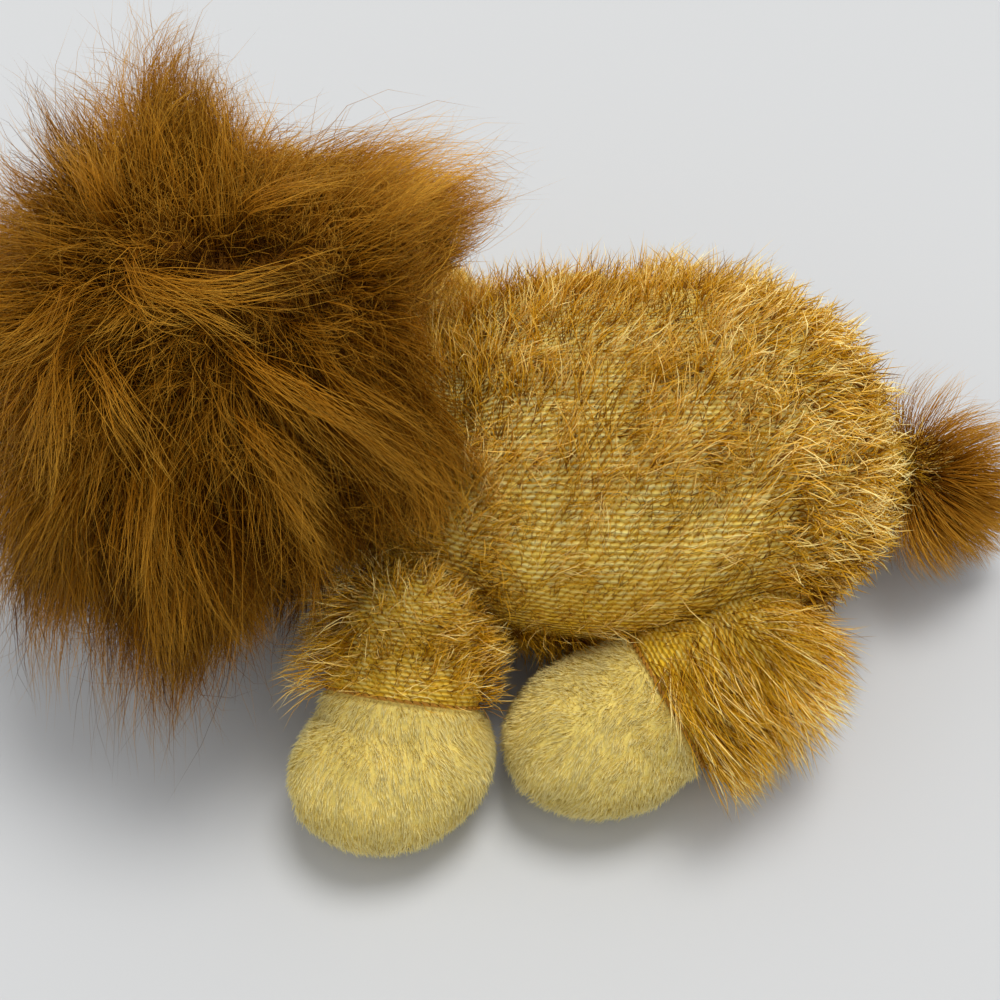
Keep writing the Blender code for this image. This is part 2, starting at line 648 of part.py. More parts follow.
def build_head(carrier):
    frame = head_frame()
    look = forward_matrix(frame)
    far = MANE_RADIUS + 3 * OVERRUN
    gap_angle = GAP / FACE_RADIUS
    inner_ball = room("head_inside", HEAD_CLOTH_INSIDE, HEAD_CENTRE)
    face_cone = rod(
        "face_opening",
        0,
        HEAD_CENTRE.copy(),
        frame @ Vector((0, far, 0)),
        FACE_CONE_SEGMENTS,
        far * tan(FACE_HALF_ANGLE),
    )
    neck_depth = HEAD_FILLING_RADIUS / 2
    collar = [
        (0, far),
        (far, far),
        (far, MANE_COLLAR_DEPTH),
        (NECK_BORE_RADIUS, MANE_COLLAR_DEPTH),
        (NECK_BORE_RADIUS, neck_depth),
        (0, neck_depth),
    ]
    neck_matrix = frame_matrix(HEAD_CENTRE, -NECK_OUT, Vector((0, 1, 0)))
    neck_room = turned("neck_room", collar, neck_matrix, NECK_SEGMENTS)
    mane = cut(mane_form(), inner_ball, face_cone, neck_room)
    piece("mane", mane, "mane_brown", carrier)

    edge = FACE_HALF_ANGLE - gap_angle
    inside_radius = flat_radius(HEAD_CLOTH_INSIDE, FACE_SEGMENTS, FACE_SEGMENTS)
    face_profile = arc(FACE_RADIUS, 0, edge, ARC_STEPS) + arc(inside_radius, edge, 0, ARC_STEPS)
    face = turned("face_form", face_profile, look, FACE_SEGMENTS)
    snout_hole = snout_ball("snout_hole", frame, SKIN)
    eye_ways = {}
    for name, side in (("left", -1), ("right", 1)):
        side_part = sin(EYE_SIDE_ANGLE) * side
        rise_part = sin(EYE_RISE_ANGLE)
        forward_part = sqrt(1 - side_part**2 - rise_part**2)
        eye_ways[name] = (frame.to_3x3() @ Vector((side_part, forward_part, rise_part))).normalized()
    stem_holes = []
    for name, way in eye_ways.items():
        start = HEAD_CENTRE + way * (HEAD_FILLING_RADIUS - STEM_LENGTH)
        end = HEAD_CENTRE + way * (FACE_RADIUS + OVERRUN)
        stem_holes.append(rod("eye_hole_" + name, STEM_HOLE_RADIUS, start, end, STEM_SEGMENTS))
    cut(face, snout_hole, *stem_holes)
    piece("face_panel", face, "short_gold", carrier)

    face_room = room("face_room", FACE_RADIUS + GAP, HEAD_CENTRE, FACE_CONE_SEGMENTS, FACE_ROOM_RINGS)
    snout_outer = snout_ball("snout_outer", frame, 0)
    snout_fill = snout_ball("snout_fill", frame, SKIN + GAP)
    snout_room = snout_ball("snout_room", frame, -GAP)
    lift = NOSE_RISE / SNOUT_HALF_HEIGHT
    reach = sqrt(1 - lift**2)
    nose_way = frame.to_3x3() @ Vector((0, reach / SNOUT_HALF_DEPTH, lift / SNOUT_HALF_HEIGHT)).normalized()
    nose_out = SNOUT_OUT + SNOUT_HALF_DEPTH * reach
    nose_seat = frame @ Vector((0, nose_out, NOSE_RISE - SNOUT_DROP))
    stem_end = nose_seat - nose_way * STEM_LENGTH
    hole_end = nose_seat + nose_way * OVERRUN
    nose_hole = rod("nose_hole", STEM_HOLE_RADIUS, stem_end - nose_way * GAP, hole_end, STEM_SEGMENTS)
    muzzle = cut(snout_outer, face_room, snout_hole, nose_hole)
    piece("muzzle", muzzle, "cream", carrier)

    chin_radii = (CHIN_HALF_WIDTH, CHIN_HALF_DEPTH, CHIN_HALF_HEIGHT)
    chin_place = frame @ Matrix.Translation((0, CHIN_OUT, -CHIN_DROP))
    chin = cutter_object("chin_form", ball_mesh(chin_radii, SMALL_SEGMENTS, SMALL_RINGS, chin_place))
    cut(chin, face_room, snout_room)
    piece("chin", chin, "cream", carrier)

    build_nose(frame, nose_seat, nose_way, carrier)
    washer_seat = nose_seat - nose_way * (SKIN + 2 * WASHER_DROP)
    washer_pockets = [build_washer("nose_washer", washer_seat, nose_way, carrier)]
    washer_pockets.append(nose_hole)
    for name, way in eye_ways.items():
        build_eye("eye_" + name, way, carrier)
        seat = HEAD_CENTRE + way * (HEAD_CLOTH_INSIDE - WASHER_DROP)
        washer_pockets.append(build_washer("eye_washer_" + name, seat, way, carrier))
        build_ear(name, frame, face_room, carrier)
    filling = ball("head_filling_form", HEAD_FILLING_RADIUS, HEAD_CENTRE)
    boolean(filling, snout_fill, "UNION")
    freeze(filling)
    cut(filling, *washer_pockets, *stem_holes)
    piece("head_stuffing", filling, "filling_white", carrier)


def build_nose(frame, seat, way, carrier):
    bm = bmesh.new()
    bmesh.ops.create_cone(
        bm,
        cap_ends=True,
        segments=3,
        radius1=NOSE_RADIUS / ring_share(3) / ring_share(3),
        radius2=NOSE_RADIUS,
        depth=NOSE_THICKNESS,
    )
    place = Matrix.Translation(seat + way * (NOSE_THICKNESS / 2 + GAP))
    side = (frame.to_3x3() @ Vector((1, 0, 0))).normalized()
    turn = Matrix((side, way.cross(side), way)).transposed().to_4x4() @ Matrix.Rotation(-pi / 2, 4, "Z")
    bmesh.ops.transform(bm, matrix=place @ turn, verts=bm.verts)
    nose = cutter_object("nose_form", bm)
    rounding = nose.modifiers.new("round", "SUBSURF")
    rounding.levels = 2
    rounding.render_levels = 2
    freeze(nose)
    stem_start = seat - way * STEM_LENGTH
    stem = rod("nose_stem", STEM_RADIUS, stem_start, seat + way * (NOSE_THICKNESS / 2), STEM_SEGMENTS)
    boolean(nose, stem, "UNION")
    piece("nose", nose, "nose_black", carrier)


def build_eye(name, way, carrier):
    seat_radius = FACE_RADIUS + GAP
    matrix = frame_matrix(HEAD_CENTRE + way * seat_radius, way, Vector((0, 0, 1)))
    profile = [(EYE_RADIUS * out, EYE_BULGE * rise) for out, rise in arc(1, 0, pi / 2, EYE_ARC_STEPS)]
    profile += [(STEM_RADIUS, 0), (STEM_RADIUS, -STEM_LENGTH), (0, -STEM_LENGTH)]
    eye = turned(name + "_form", profile, matrix, EYE_SEGMENTS)
    piece(name, eye, "eye_black", carrier)


def build_washer(name, seat, way, carrier):
    # The washer's outer face is at the seat. Returns the pocket that it needs in the filling.
    matrix = frame_matrix(seat, way, Vector((0, 0, 1)))
    profile = [
        (WASHER_BORE_RADIUS, 0),
        (WASHER_RADIUS, 0),
        (WASHER_RADIUS, -WASHER_THICKNESS),
        (WASHER_BORE_RADIUS, -WASHER_THICKNESS),
    ]
    washer = turned(name + "_form", profile, matrix, WASHER_SEGMENTS)
    piece(name, washer, "washer_white", carrier)
    floor = seat - way * (WASHER_THICKNESS + GAP)
    return rod(name + "_pocket", WASHER_RADIUS + GAP, floor, seat + way * OVERRUN, WASHER_SEGMENTS)


def build_ear(name, frame, face_room, carrier):
    side = -1 if name == "left" else 1
    spread = Vector((sin(EAR_SPREAD_ANGLE) * side, 0, cos(EAR_SPREAD_ANGLE)))
    way = spread * sin(EAR_TILT_ANGLE) + Vector((0, cos(EAR_TILT_ANGLE), 0))
    ahead = spread * -cos(EAR_TILT_ANGLE) + Vector((0, sin(EAR_TILT_ANGLE), 0))
    along = ahead.cross(way)
    local = Matrix((along, ahead, way)).transposed().to_4x4()
    place = frame @ Matrix.Translation(way * EAR_SEAT_RADIUS) @ local
    radii = (EAR_HALF_WIDTH, EAR_HALF_THICKNESS, EAR_HALF_HEIGHT)
    dish_radii = tuple(radius - EAR_LINING_INSET for radius in (radii[0], 0, radii[2]))
    dish_depth = EAR_HALF_THICKNESS - EAR_LINING_INSET / 2
    dish_shift = Matrix.Translation((0, EAR_HALF_THICKNESS / 2 + GAP, 0))
    back = cutter_object("ear_form_" + name, ball_mesh(radii, SMALL_SEGMENTS, SMALL_RINGS, place))
    dish = ball_mesh((dish_radii[0], dish_depth, dish_radii[2]), SMALL_SEGMENTS, SMALL_RINGS, place @ dish_shift)
    dish_cutter = cutter_object("ear_dish_" + name, dish)
    fill = (dish_radii[0] - GAP, dish_depth - GAP, dish_radii[2] - GAP)
    lining = cutter_object("ear_lining_form_" + name, ball_mesh(fill, SMALL_SEGMENTS, SMALL_RINGS, place @ dish_shift))
    cut(back, face_room, dish_cutter)
    piece("ear_" + name, back, "short_gold", carrier)
    cut(lining, face_room)
    piece("ear_lining_" + name, lining, "cream", carrier)


def build_tail(carrier, body_form):
    along = (TAIL_TIP - TAIL_HINGE).normalized()
    wide = Vector((0, 0, 1)).cross(along).normalized()
    high = along.cross(wide)
    sleeve_end = TAIL_HINGE + along * TAIL_SLEEVE_LENGTH
    sleeve = rod("tail_sleeve_form", TAIL_SLEEVE_RADIUS, TAIL_HINGE, sleeve_end, TAIL_SEGMENTS)
    root = ball("tail_root", TAIL_ROOT_RADIUS, TAIL_HINGE, TAIL_SEGMENTS, TAIL_ROOT_RINGS)
    boolean(sleeve, root, "UNION")
    freeze(sleeve)
    piece("tail_sleeve", sleeve, "shaggy_gold", carrier)

    start = TAIL_HINGE + along * TUFT_START
    length = (TAIL_TIP - start).length
    stations = []
    for reach_share, width_share, height_share, sag_share in TUFT_STATION_SHARES:
        sag = Vector((0, 0, -sag_share * TUFT_HALF_HEIGHT))
        centre = start + along * (reach_share * length) + sag
        half_height = height_share * TUFT_HALF_HEIGHT
        stations.append((centre, wide, high, width_share * TUFT_HALF_WIDTH, half_height))
    tuft = soft_form("tuft_form", stations, INNER_RING_SIDES)
    bore_end = sleeve_end + along * GAP
    bore_start = TAIL_HINGE - along * OVERRUN
    bore = rod("tuft_bore", TAIL_SLEEVE_RADIUS + GAP, bore_start, bore_end, TAIL_SEGMENTS)
    root_room = room("tail_root_room", TAIL_ROOT_RADIUS + GAP, TAIL_HINGE, SMALL_SEGMENTS, SMALL_RINGS)
    cut(tuft, bore, root_room, body_form)
    piece("tail_tuft", tuft, "mane_brown", carrier)


def main():
    legs = []
    sockets = []
    root_spaces = []
    for front, front_name in ((True, "front"), (False, "rear")):
        for side, side_name in ((-1, "left"), (1, "right")):
            name = front_name + "_" + side_name
            hip = leg_points(front, side)[0]
            legs.append((name, front, side, hip))
            sockets.append(room(name + "_socket", LEG_ROOT_RADIUS + GAP, hip))
            root_spaces.append(ball(name + "_root_space", LEG_ROOT_RADIUS, hip))
    sockets.append(room("tail_socket", TAIL_ROOT_RADIUS + GAP, TAIL_HINGE, SMALL_SEGMENTS, SMALL_RINGS))
    root_spaces.append(ball("tail_root_space", TAIL_ROOT_RADIUS, TAIL_HINGE, SMALL_SEGMENTS, SMALL_RINGS))
    body_carrier = pivot("body_pivot", Vector((0, 0, 0)))
    build_body(body_carrier, sockets)
    body_room = soft_form("body_room", body_stations(-GAP), square_share=BELLY_SQUARE_SHARE)
    freeze(cut(body_room, *root_spaces))
    for name, front, side, hip in legs:
        carrier = pivot(name + "_leg_pivot", hip)
        build_leg(name, front, side, carrier, body_room)
    build_head(pivot("head_pivot", HEAD_CENTRE))
    build_tail(pivot("tail_pivot", TAIL_HINGE), body_room)


main()
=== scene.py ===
"""Dresses the plush lion: cloth skins, long pile, short pile, thread, plastic eyes and nose, and the stage."""

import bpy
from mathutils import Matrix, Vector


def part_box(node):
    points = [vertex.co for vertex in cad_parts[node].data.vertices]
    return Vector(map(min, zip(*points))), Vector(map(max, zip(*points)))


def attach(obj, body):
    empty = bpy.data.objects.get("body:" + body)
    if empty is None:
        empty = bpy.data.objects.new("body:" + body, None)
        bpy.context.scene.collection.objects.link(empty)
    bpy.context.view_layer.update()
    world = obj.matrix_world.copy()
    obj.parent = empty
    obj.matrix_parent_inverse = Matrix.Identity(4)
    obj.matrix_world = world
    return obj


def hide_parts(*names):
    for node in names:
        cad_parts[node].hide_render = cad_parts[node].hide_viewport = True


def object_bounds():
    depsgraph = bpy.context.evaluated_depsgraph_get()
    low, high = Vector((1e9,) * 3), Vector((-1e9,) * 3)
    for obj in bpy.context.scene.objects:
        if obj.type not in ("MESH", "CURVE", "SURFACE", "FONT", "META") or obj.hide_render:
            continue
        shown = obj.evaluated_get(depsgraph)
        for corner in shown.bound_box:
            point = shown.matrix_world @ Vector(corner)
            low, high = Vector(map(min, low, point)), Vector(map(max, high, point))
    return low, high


bl_info = {
    "name": "Plush lion",
    "version": (1, 0, 0),
    "blender": (4, 5, 0),
    "location": "3D View > Sidebar > Lion",
    "description": "Builds the cloth, fur and trim of a plush lion round its fixed frame",
    "category": "Object",
}

from math import asin, cos, pi, radians, sin, tan

import bpy
import numpy as np
from bpy.props import FloatProperty, FloatVectorProperty, IntProperty, PointerProperty
from mathutils import Matrix, Vector
from mathutils.bvhtree import BVHTree
from mathutils.kdtree import KDTree

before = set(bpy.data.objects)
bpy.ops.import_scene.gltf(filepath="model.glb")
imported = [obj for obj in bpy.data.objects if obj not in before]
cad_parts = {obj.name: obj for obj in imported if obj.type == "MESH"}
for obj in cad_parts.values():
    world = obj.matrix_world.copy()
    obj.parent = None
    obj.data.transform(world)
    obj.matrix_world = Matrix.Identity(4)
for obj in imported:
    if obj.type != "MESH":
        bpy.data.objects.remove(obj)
CAD_LOW, CAD_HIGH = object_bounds()

UP = Vector((0, 0, 1))
DOWN = np.array((0.0, 0.0, -1.0))

# Places, sizes, directions and angles of the pieces, in metres and radians
SKIN = 0.0018
CLEARANCE = 0.0003
BODY_MIDDLE_Z = 0.0305
BELLY_SEAM_Z = 0.009
SOLE_SEAM_Z = 0.005
HEAD_CENTRE = Vector((-0.074, 0, 0.060))
CHEST = Vector((-0.040, 0, 0.033))
NECK_OUT = (HEAD_CENTRE - CHEST).normalized()
FACE_RADIUS = 0.0281
HEAD_INSIDE_RADIUS = 0.0263
HOOD_RADIUS = 0.0305
NECK_OPENING = 0.0166
FACE_OVERLAP = 0.012
FACE_HALF_ANGLE = radians(50)
LOOK_TURN = radians(75)
LOOK_DOWN = radians(10)
LOOK = Vector((-cos(LOOK_TURN) * cos(LOOK_DOWN), sin(LOOK_TURN) * cos(LOOK_DOWN), -sin(LOOK_DOWN)))
HEAD_RIGHT = LOOK.cross(UP).normalized()
HEAD_TOP = HEAD_RIGHT.cross(LOOK)
CROWN = Vector((-0.395, -0.328, 0.858)).normalized()
EAR_DISTANCE = 0.0325
LEG_ROOT_RADIUS = 0.013
PAW_RADII = (0.0185, 0.0150, 0.0135)
TAIL_HINGE = Vector((0.0475, 0.003, 0.029))
TAIL_TIP = Vector((0.077, 0.002, 0.0085))
TAIL_ALONG = (TAIL_TIP - TAIL_HINGE).normalized()
TAIL_ROOT_RADIUS = 0.0048

# The knit's rows and loops, the stitches at an ankle, and how finely the cloth is cut and welded, in metres
KNIT_ROW = 0.00084
KNIT_LOOP = 0.0017
STITCHES = 52
STITCH_LENGTH = 0.0012
CUT_TOLERANCE = 0.000001
WELD_DISTANCE = 0.000005

# How wide a face fibre is, how many fibres the tail's sleeve has and how long they are, how a gold one thins
# out, and what shares of the mane stand astray or curl up short
FACE_FIBRE_RADIUS = 0.00011
TAIL_SLEEVE_COUNT = 500
TAIL_SLEEVE_LENGTH = 0.007
GOLD_TAPER = (1.0, 1.0, 0.85)
ASTRAY_SHARE = 0.13
FUZZ_SHARE = 0.42

# How deep in the hood a root may stand, how near the floor a tip may come, and how far past the frame's box
ROOT_DEPTH = 0.0006
FLOOR_ROOM = 0.0006
PROUD = 0.0115

# The stage: the floor's colour, and where the camera stands, what it looks at and half of what it takes in
FLOOR_COLOUR = (0.62, 0.63, 0.64)
CAMERA_PLACE = Vector((-0.027, -0.1808, 0.2499))
CAMERA_AIM = Vector((-0.027, -0.009, 0.030))
HALF_VIEW = radians(19)

# Each pair of legs: the hip and the paw of the right one, how far from the hip the ankle seam lies, and how far
# the paw turns out
LEG_PAIRS = (
    ("front", (-0.043, 0.036, 0.0265), (-0.0465, 0.0565, 0.013), 0.0125, radians(22)),
    ("rear", (0.019, 0.0385, 0.0225), (-0.0075, 0.050, 0.013), 0.018, radians(14)),
)

# Body rings: distance ahead, centre height, half width, half height, lean of the ring
BODY_RINGS = (
    (-0.0457, 0.0283, 0.0135, 0.0110, 0),
    (-0.0400, 0.0308, 0.0236, 0.0213, 0),
    (-0.0244, 0.0317, 0.0342, 0.0297, 0),
    (-0.0018, 0.0304, 0.0380, 0.03125, 0),
    (0.0209, 0.0311, 0.0357, 0.0306, 0),
    (0.0400, 0.0330, 0.0315, 0.0273, radians(22)),
    (0.0440, 0.0362, 0.0237, 0.0237, radians(31)),
    (0.0485, 0.0397, 0.0177, 0.0177, radians(38)),
    (0.0536, 0.0438, 0.0156, 0.0156, radians(38)),
    (0.0580, 0.0473, 0.0156, 0.0156, radians(38)),
)

# The mane's outline in the photograph: how far its tips stand from the head's centre, in millimetres, at
# equal turns from the photograph's right towards its top, and how far at the middle of each side
MANE_OUTLINE = (
    28, 29, 40, 54, 46, 40, 38,
    53, 57, 54, 54, 50, 53, 52,
    54, 56, 50, 56, 64, 51, 62,
    56, 47, 41, 42, 49, 52, 38,
)
MANE_NEAR_REACH = 43
MANE_FAR_REACH = 47
UNDERFUR_SHARE = 0.75
NECK_ROOM = 0.0315

# Long strands laid over the mane from its crown: where each starts and ends, in millimetres to the
# photograph's right of the head's centre and upwards
MANE_STRANDS = (
    ((-17.8, 2.7), (-3.4, -24.4)),
    ((-14.9, 10.0), (12.6, -2.0)),
    ((-10.8, 16.0), (4.7, 2.7)),
    ((-14.0, 10.0), (24.0, 11.9)),
    ((1.0, 2.2), (31.0, -18.5)),
    ((10.2, -2.9), (36.0, -23.0)),
    ((-17.3, 11.9), (-33.2, -4.7)),
    ((-18.1, 4.5), (-24.0, -27.7)),
    ((3.8, -7.9), (21.7, -29.0)),
    ((-12.0, 14.0), (-26.0, 34.0)),
    ((2.0, 16.0), (30.0, 27.0)),
)

# Tufts of the mane: where the tip stands from the head's centre, in millimetres to the photograph's
# right, upwards and towards the viewer, then how wide the tuft gathers and how strongly
TUFTS = (
    ((-4, 55, 4), 0.060, 0.85),
    ((-25, 48, 0), 0.060, 0.80),
    ((-40, 37, 2), 0.060, 0.80),
    ((-50, 21, 4), 0.050, 0.80),
    ((-51, 2, 8), 0.050, 0.80),
    ((-50, -20, 8), 0.050, 0.80),
    ((-45, -44, 4), 0.060, 0.85),
    ((-25, -58, 4), 0.060, 0.80),
    ((-12, -64, 4), 0.055, 0.85),
    ((1, -56, 6), 0.050, 0.80),
    ((17, -45, 13), 0.060, 0.80),
    ((32, -37, 15), 0.050, 0.80),
    ((45, -26, 16), 0.050, 0.85),
    ((41, -13, 17), 0.050, 0.85),
    ((32, -1, 20), 0.045, 0.85),
    ((24, 9, 22), 0.045, 0.85),
    ((48, 31, -6), 0.065, 0.90),
    ((36, 37, -4), 0.055, 0.85),
    ((17, 44, 0), 0.050, 0.80),
    ((6, 41, 6), 0.050, 0.70),
)
VIEW_RIGHT = np.array((1.0, 0.0, 0.0))
VIEW_UP = np.array((0.0, 0.788, 0.616))
VIEW_NEAR = np.array((0.0, -0.616, 0.788))


def colour_property(name, description, value):
    return FloatVectorProperty(name=name, description=description, subtype="COLOR", size=3, default=value, min=0, max=1)


def length_property(name, description, value):
    return FloatProperty(
        name=name, description=description, default=value, min=0.00001, max=0.1, unit="LENGTH", precision=6
    )


def count_property(name, description, value):
    return IntProperty(name=name, description=description, default=value, min=10, max=80000)


class LionSizes(bpy.types.PropertyGroup):
    """Lengths, widths and numbers of the fibres."""

    mane_count: count_property("Mane fibres", "Number of long fibres on the hood", 45000)
    strand_count: count_property("Strand fibres", "Number of fibres in each strand laid over the mane", 46)
    mane_length: length_property("Mane length", "Length of a mane fibre", 0.0265)
    mane_radius: length_property("Mane fibre radius", "Half the width of a mane fibre at its root", 0.000064)
    body_count: count_property("Body fibres", "Number of fibres on the body", 27000)
    body_length: length_property("Body length", "Length of a body fibre", 0.0108)
    body_radius: length_property("Body fibre radius", "Half the width of a body fibre at its root", 0.000078)
    leg_count: count_property("Leg fibres", "Number of fibres on one leg", 2500)
    leg_length: length_property("Leg length", "Length of a leg fibre", 0.0105)
    paw_count: count_property("Paw fibres", "Number of short fibres on one paw", 10000)
    paw_length: length_property("Paw pile", "Length of the short pile on the paws", 0.0022)
    paw_radius: length_property("Paw fibre radius", "Half the width of a paw fibre at its root", 0.000078)
    face_count: count_property("Face fibres", "Number of short fibres on the face", 7000)
    face_length: length_property("Face pile", "Length of the short pile on the face", 0.0030)
    tuft_count: count_property("Tuft fibres", "Number of long fibres on the tail", 3400)
    tuft_length: length_property("Tuft length", "Length of a tuft fibre", 0.021)
    stitch_radius: length_property("Thread radius", "Half the width of the thread at the ankles", 0.00022)


class LionColours(bpy.types.PropertyGroup):
    """Colours of the cloth, the fibres and the plastic."""

    mane_root: colour_property("Mane root", "Colour of the mane near the backing", (0.110, 0.031, 0.001))
    mane_under: colour_property("Underfur", "Colour of the dense underfur of the mane", (0.190, 0.066, 0.002))
    mane_middle: colour_property("Mane middle", "Colour of the mane halfway", (0.360, 0.124, 0.002))
    mane_tip: colour_property("Mane tip", "Colour of the mane's ends", (0.640, 0.345, 0.045))
    body_root: colour_property("Body root", "Colour of the body fibres near the knit", (0.350, 0.120, 0.001))
    body_middle: colour_property("Body middle", "Colour of the body fibres halfway", (0.830, 0.430, 0.003))
    body_tip: colour_property("Body tip", "Colour of the body fibres' ends", (1.000, 0.880, 0.400))
    knit: colour_property("Knit", "Colour of the satin knit behind the fibres", (0.980, 0.610, 0.026))
    knit_gap: colour_property("Knit gaps", "Colour between the loops of the knit", (0.560, 0.270, 0.006))
    # Painted light: the lighter colour the knit takes higher up the body, where the light from above falls.
    knit_high: colour_property("Upper knit", "Colour of the worn knit along the back", (1.000, 0.790, 0.180))
    # Painted highlight: the cream colour blended onto the tops of the knit's loops.
    satin: colour_property("Satin", "Highlight on the loops of the knit", (1.000, 0.900, 0.380))
    paw_root: colour_property("Paw root", "Colour of the paws near the backing", (0.930, 0.740, 0.200))
    paw_middle: colour_property("Paw middle", "Colour of the paws halfway", (0.960, 0.800, 0.290))
    paw_tip: colour_property("Paw tip", "Colour of the paws' ends", (0.980, 0.880, 0.470))
    face_middle: colour_property("Face", "Colour of the face pile", (0.700, 0.430, 0.100))
    cream: colour_property("Muzzle", "Colour of the muzzle and the ear linings", (0.880, 0.800, 0.600))
    thread: colour_property("Thread", "Colour of the ankle thread", (0.440, 0.200, 0.020))
    eye: colour_property("Eyes", "Colour of the eyes", (0.010, 0.005, 0.003))
    nose: colour_property("Nose", "Colour of the nose", (0.036, 0.014, 0.010))


def sizes():
    return bpy.context.scene.lion_sizes


def colour(name):
    return tuple(getattr(bpy.context.scene.lion_colours, name))


# Hand work shared by the pieces


def deselect_all():
    bpy.ops.object.select_all(action="DESELECT")


def pick(item):
    deselect_all()
    item.select_set(True)
    bpy.context.view_layer.objects.active = item


def named(name):
    item = bpy.context.object
    item.name = name
    item.data.name = name
    return item


def piece(name):
    return bpy.data.objects[name]


def copied(item, name):
    twin = item.copy()
    twin.data = item.data.copy()
    twin.name = name
    twin.data.name = name
    bpy.context.scene.collection.objects.link(twin)
    return twin


def removed(*items):
    for item in items:
        bpy.data.objects.remove(item, do_unlink=True)


def modified(item, kind, **settings):
    """Adds one modifier with these settings and applies it."""
    pick(item)
    modifier = item.modifiers.new(kind.lower(), kind)
    for label, value in settings.items():
        setattr(modifier, label, value)
    bpy.ops.object.modifier_apply(modifier=modifier.name)


def combine(item, operation, *others, keep=False):
    """Joins or cuts the item with each of the others, which are removed unless they are kept."""
    for other in others:
        modified(item, "BOOLEAN", operation=operation, solver="EXACT", object=other)
    if not keep:
        removed(*others)


def editing(item):
    pick(item)
    bpy.ops.object.mode_set(mode="EDIT")
    bpy.ops.mesh.select_all(action="SELECT")


def sliced(item, point, normal, fill=True):
    """Keeps what lies behind the plane and closes the cut."""
    editing(item)
    bpy.ops.mesh.bisect(plane_co=point, plane_no=normal, use_fill=fill, clear_outer=True, threshold=CUT_TOLERANCE)
    bpy.ops.object.mode_set(mode="OBJECT")


def walled(item, thickness):
    modified(item, "SOLIDIFY", thickness=thickness, offset=-1, use_even_offset=True)


def soften_edges(item, width):
    modified(item, "BEVEL", width=width, segments=2, limit_method="ANGLE", angle_limit=radians(40))
    tidy_normals(item)


def tidy_normals(item):
    editing(item)
    bpy.ops.mesh.remove_doubles(threshold=WELD_DISTANCE)
    bpy.ops.mesh.normals_make_consistent(inside=False)
    bpy.ops.object.mode_set(mode="OBJECT")


def ball(name, centre, radii, segments=32, turn=Matrix.Identity(4)):
    """A sphere of one radius, or an ellipsoid of three, turned and set in its place."""
    deselect_all()
    bpy.ops.mesh.primitive_uv_sphere_add(segments=segments, ring_count=segments // 2, radius=1)
    item = named(name)
    radii = (radii,) * 3 if isinstance(radii, float) else radii
    for change in (Matrix.Diagonal((*radii, 1)), turn, Matrix.Translation(centre)):
        item.data.transform(change)
    return item


def joined(items, name):
    deselect_all()
    for item in items:
        item.select_set(True)
    bpy.context.view_layer.objects.active = items[0]
    bpy.ops.object.join()
    return named(name)


def basis(across, upward, ahead):
    return Matrix((across, upward, ahead)).transposed().to_4x4()


def aimed(origin, along):
    """The place at the origin whose Z points along and whose X is level."""
    wide = UP.cross(along).normalized()
    return Matrix.Translation(origin) @ basis(wide, along.cross(wide), along)


class Leg:
    """Where one leg stands: its hip, its paw and the ankle seam between them."""

    def __init__(self, end, side, hip, paw, ankle_out, turn):
        sign = -1 if side == "left" else 1
        self.name, self.body, self.front = f"{end}_{side}", f"{end}_{side}_leg", end == "front"
        self.hip, self.paw = (Vector((x, y * sign, z)) for x, y, z in (hip, paw))
        self.ankle_out, self.turn = ankle_out, -sign * turn
        self.along = (self.paw - self.hip).normalized()
        self.place = aimed(self.hip, self.along)
        self.ankle = self.hip + self.along * ankle_out


LEGS = tuple(Leg(end, side, *places) for end, *places in LEG_PAIRS for side in ("left", "right"))


def loft(name, rings, place, sides=16):
    """Extrudes a ring along local Z through the stations, rounds it and sets it in its place."""
    share = (2 + cos(2 * pi / sides)) / 3
    deselect_all()
    bpy.ops.mesh.primitive_circle_add(vertices=sides, radius=1, fill_type="NGON")
    item = named(name)
    editing(item)
    z, y, wide, high, tilt = 0, 0, 1, 1, 0
    for number, (next_z, next_y, half_x, half_y, lean) in enumerate(rings):
        step = (0, next_y - y, next_z - z)
        if number:
            bpy.ops.mesh.extrude_region_move(TRANSFORM_OT_translate={"value": step})
        else:
            bpy.ops.transform.translate(value=step)
        y, z = next_y, next_z
        middle = {"center_override": (0, y, z)}
        turned = {"orient_matrix": Matrix.Rotation(tilt, 3, "X"), "orient_type": "LOCAL"} if tilt else {}
        size = (half_x / share / wide, half_y / share / high, 1)
        bpy.ops.transform.resize(value=size, **turned, **middle)
        if lean != tilt:
            bpy.ops.transform.rotate(value=lean - tilt, orient_axis="X", **middle)
        wide, high, tilt = half_x / share, half_y / share, lean
    bpy.ops.mesh.select_all(action="SELECT")
    bpy.ops.mesh.normals_make_consistent(inside=False)
    bpy.ops.object.mode_set(mode="OBJECT")
    modified(item, "SUBSURF", levels=2, render_levels=2)
    item.data.transform(place)
    return item


def mane_reach(way):
    """How far the tips of the mane stand from the head's centre in each direction, in metres."""
    count = len(MANE_OUTLINE)
    turn = np.arctan2(way @ VIEW_UP, way @ VIEW_RIGHT) / (2 * pi) * count
    before = np.floor(turn).astype(int)
    share = turn - before
    outline = np.array(MANE_OUTLINE, float)
    edge = outline[before % count] * (1 - share) + outline[(before + 1) % count] * share
    near = way @ VIEW_NEAR
    middle = np.where(near > 0, MANE_NEAR_REACH, MANE_FAR_REACH)
    reach = middle + (edge - middle) * (1 - near**2)
    for (right, up, near_part), *_ in TUFTS:
        tip = VIEW_RIGHT * right + VIEW_UP * up + VIEW_NEAR * near_part
        distance = np.linalg.norm(tip)
        reach = reach + np.maximum(distance * 1.03 - reach, 0) * np.exp((way @ tip / distance - 1) / 0.012)
    return reach * 0.001


def coordinates(item):
    flat = np.empty(len(item.data.vertices) * 3)
    item.data.vertices.foreach_get("co", flat)
    return flat.reshape(-1, 3)


def loop_array(elements, label, each=1):
    values = np.empty(len(elements) * each, np.int32)
    elements.foreach_get(label, values)
    return values


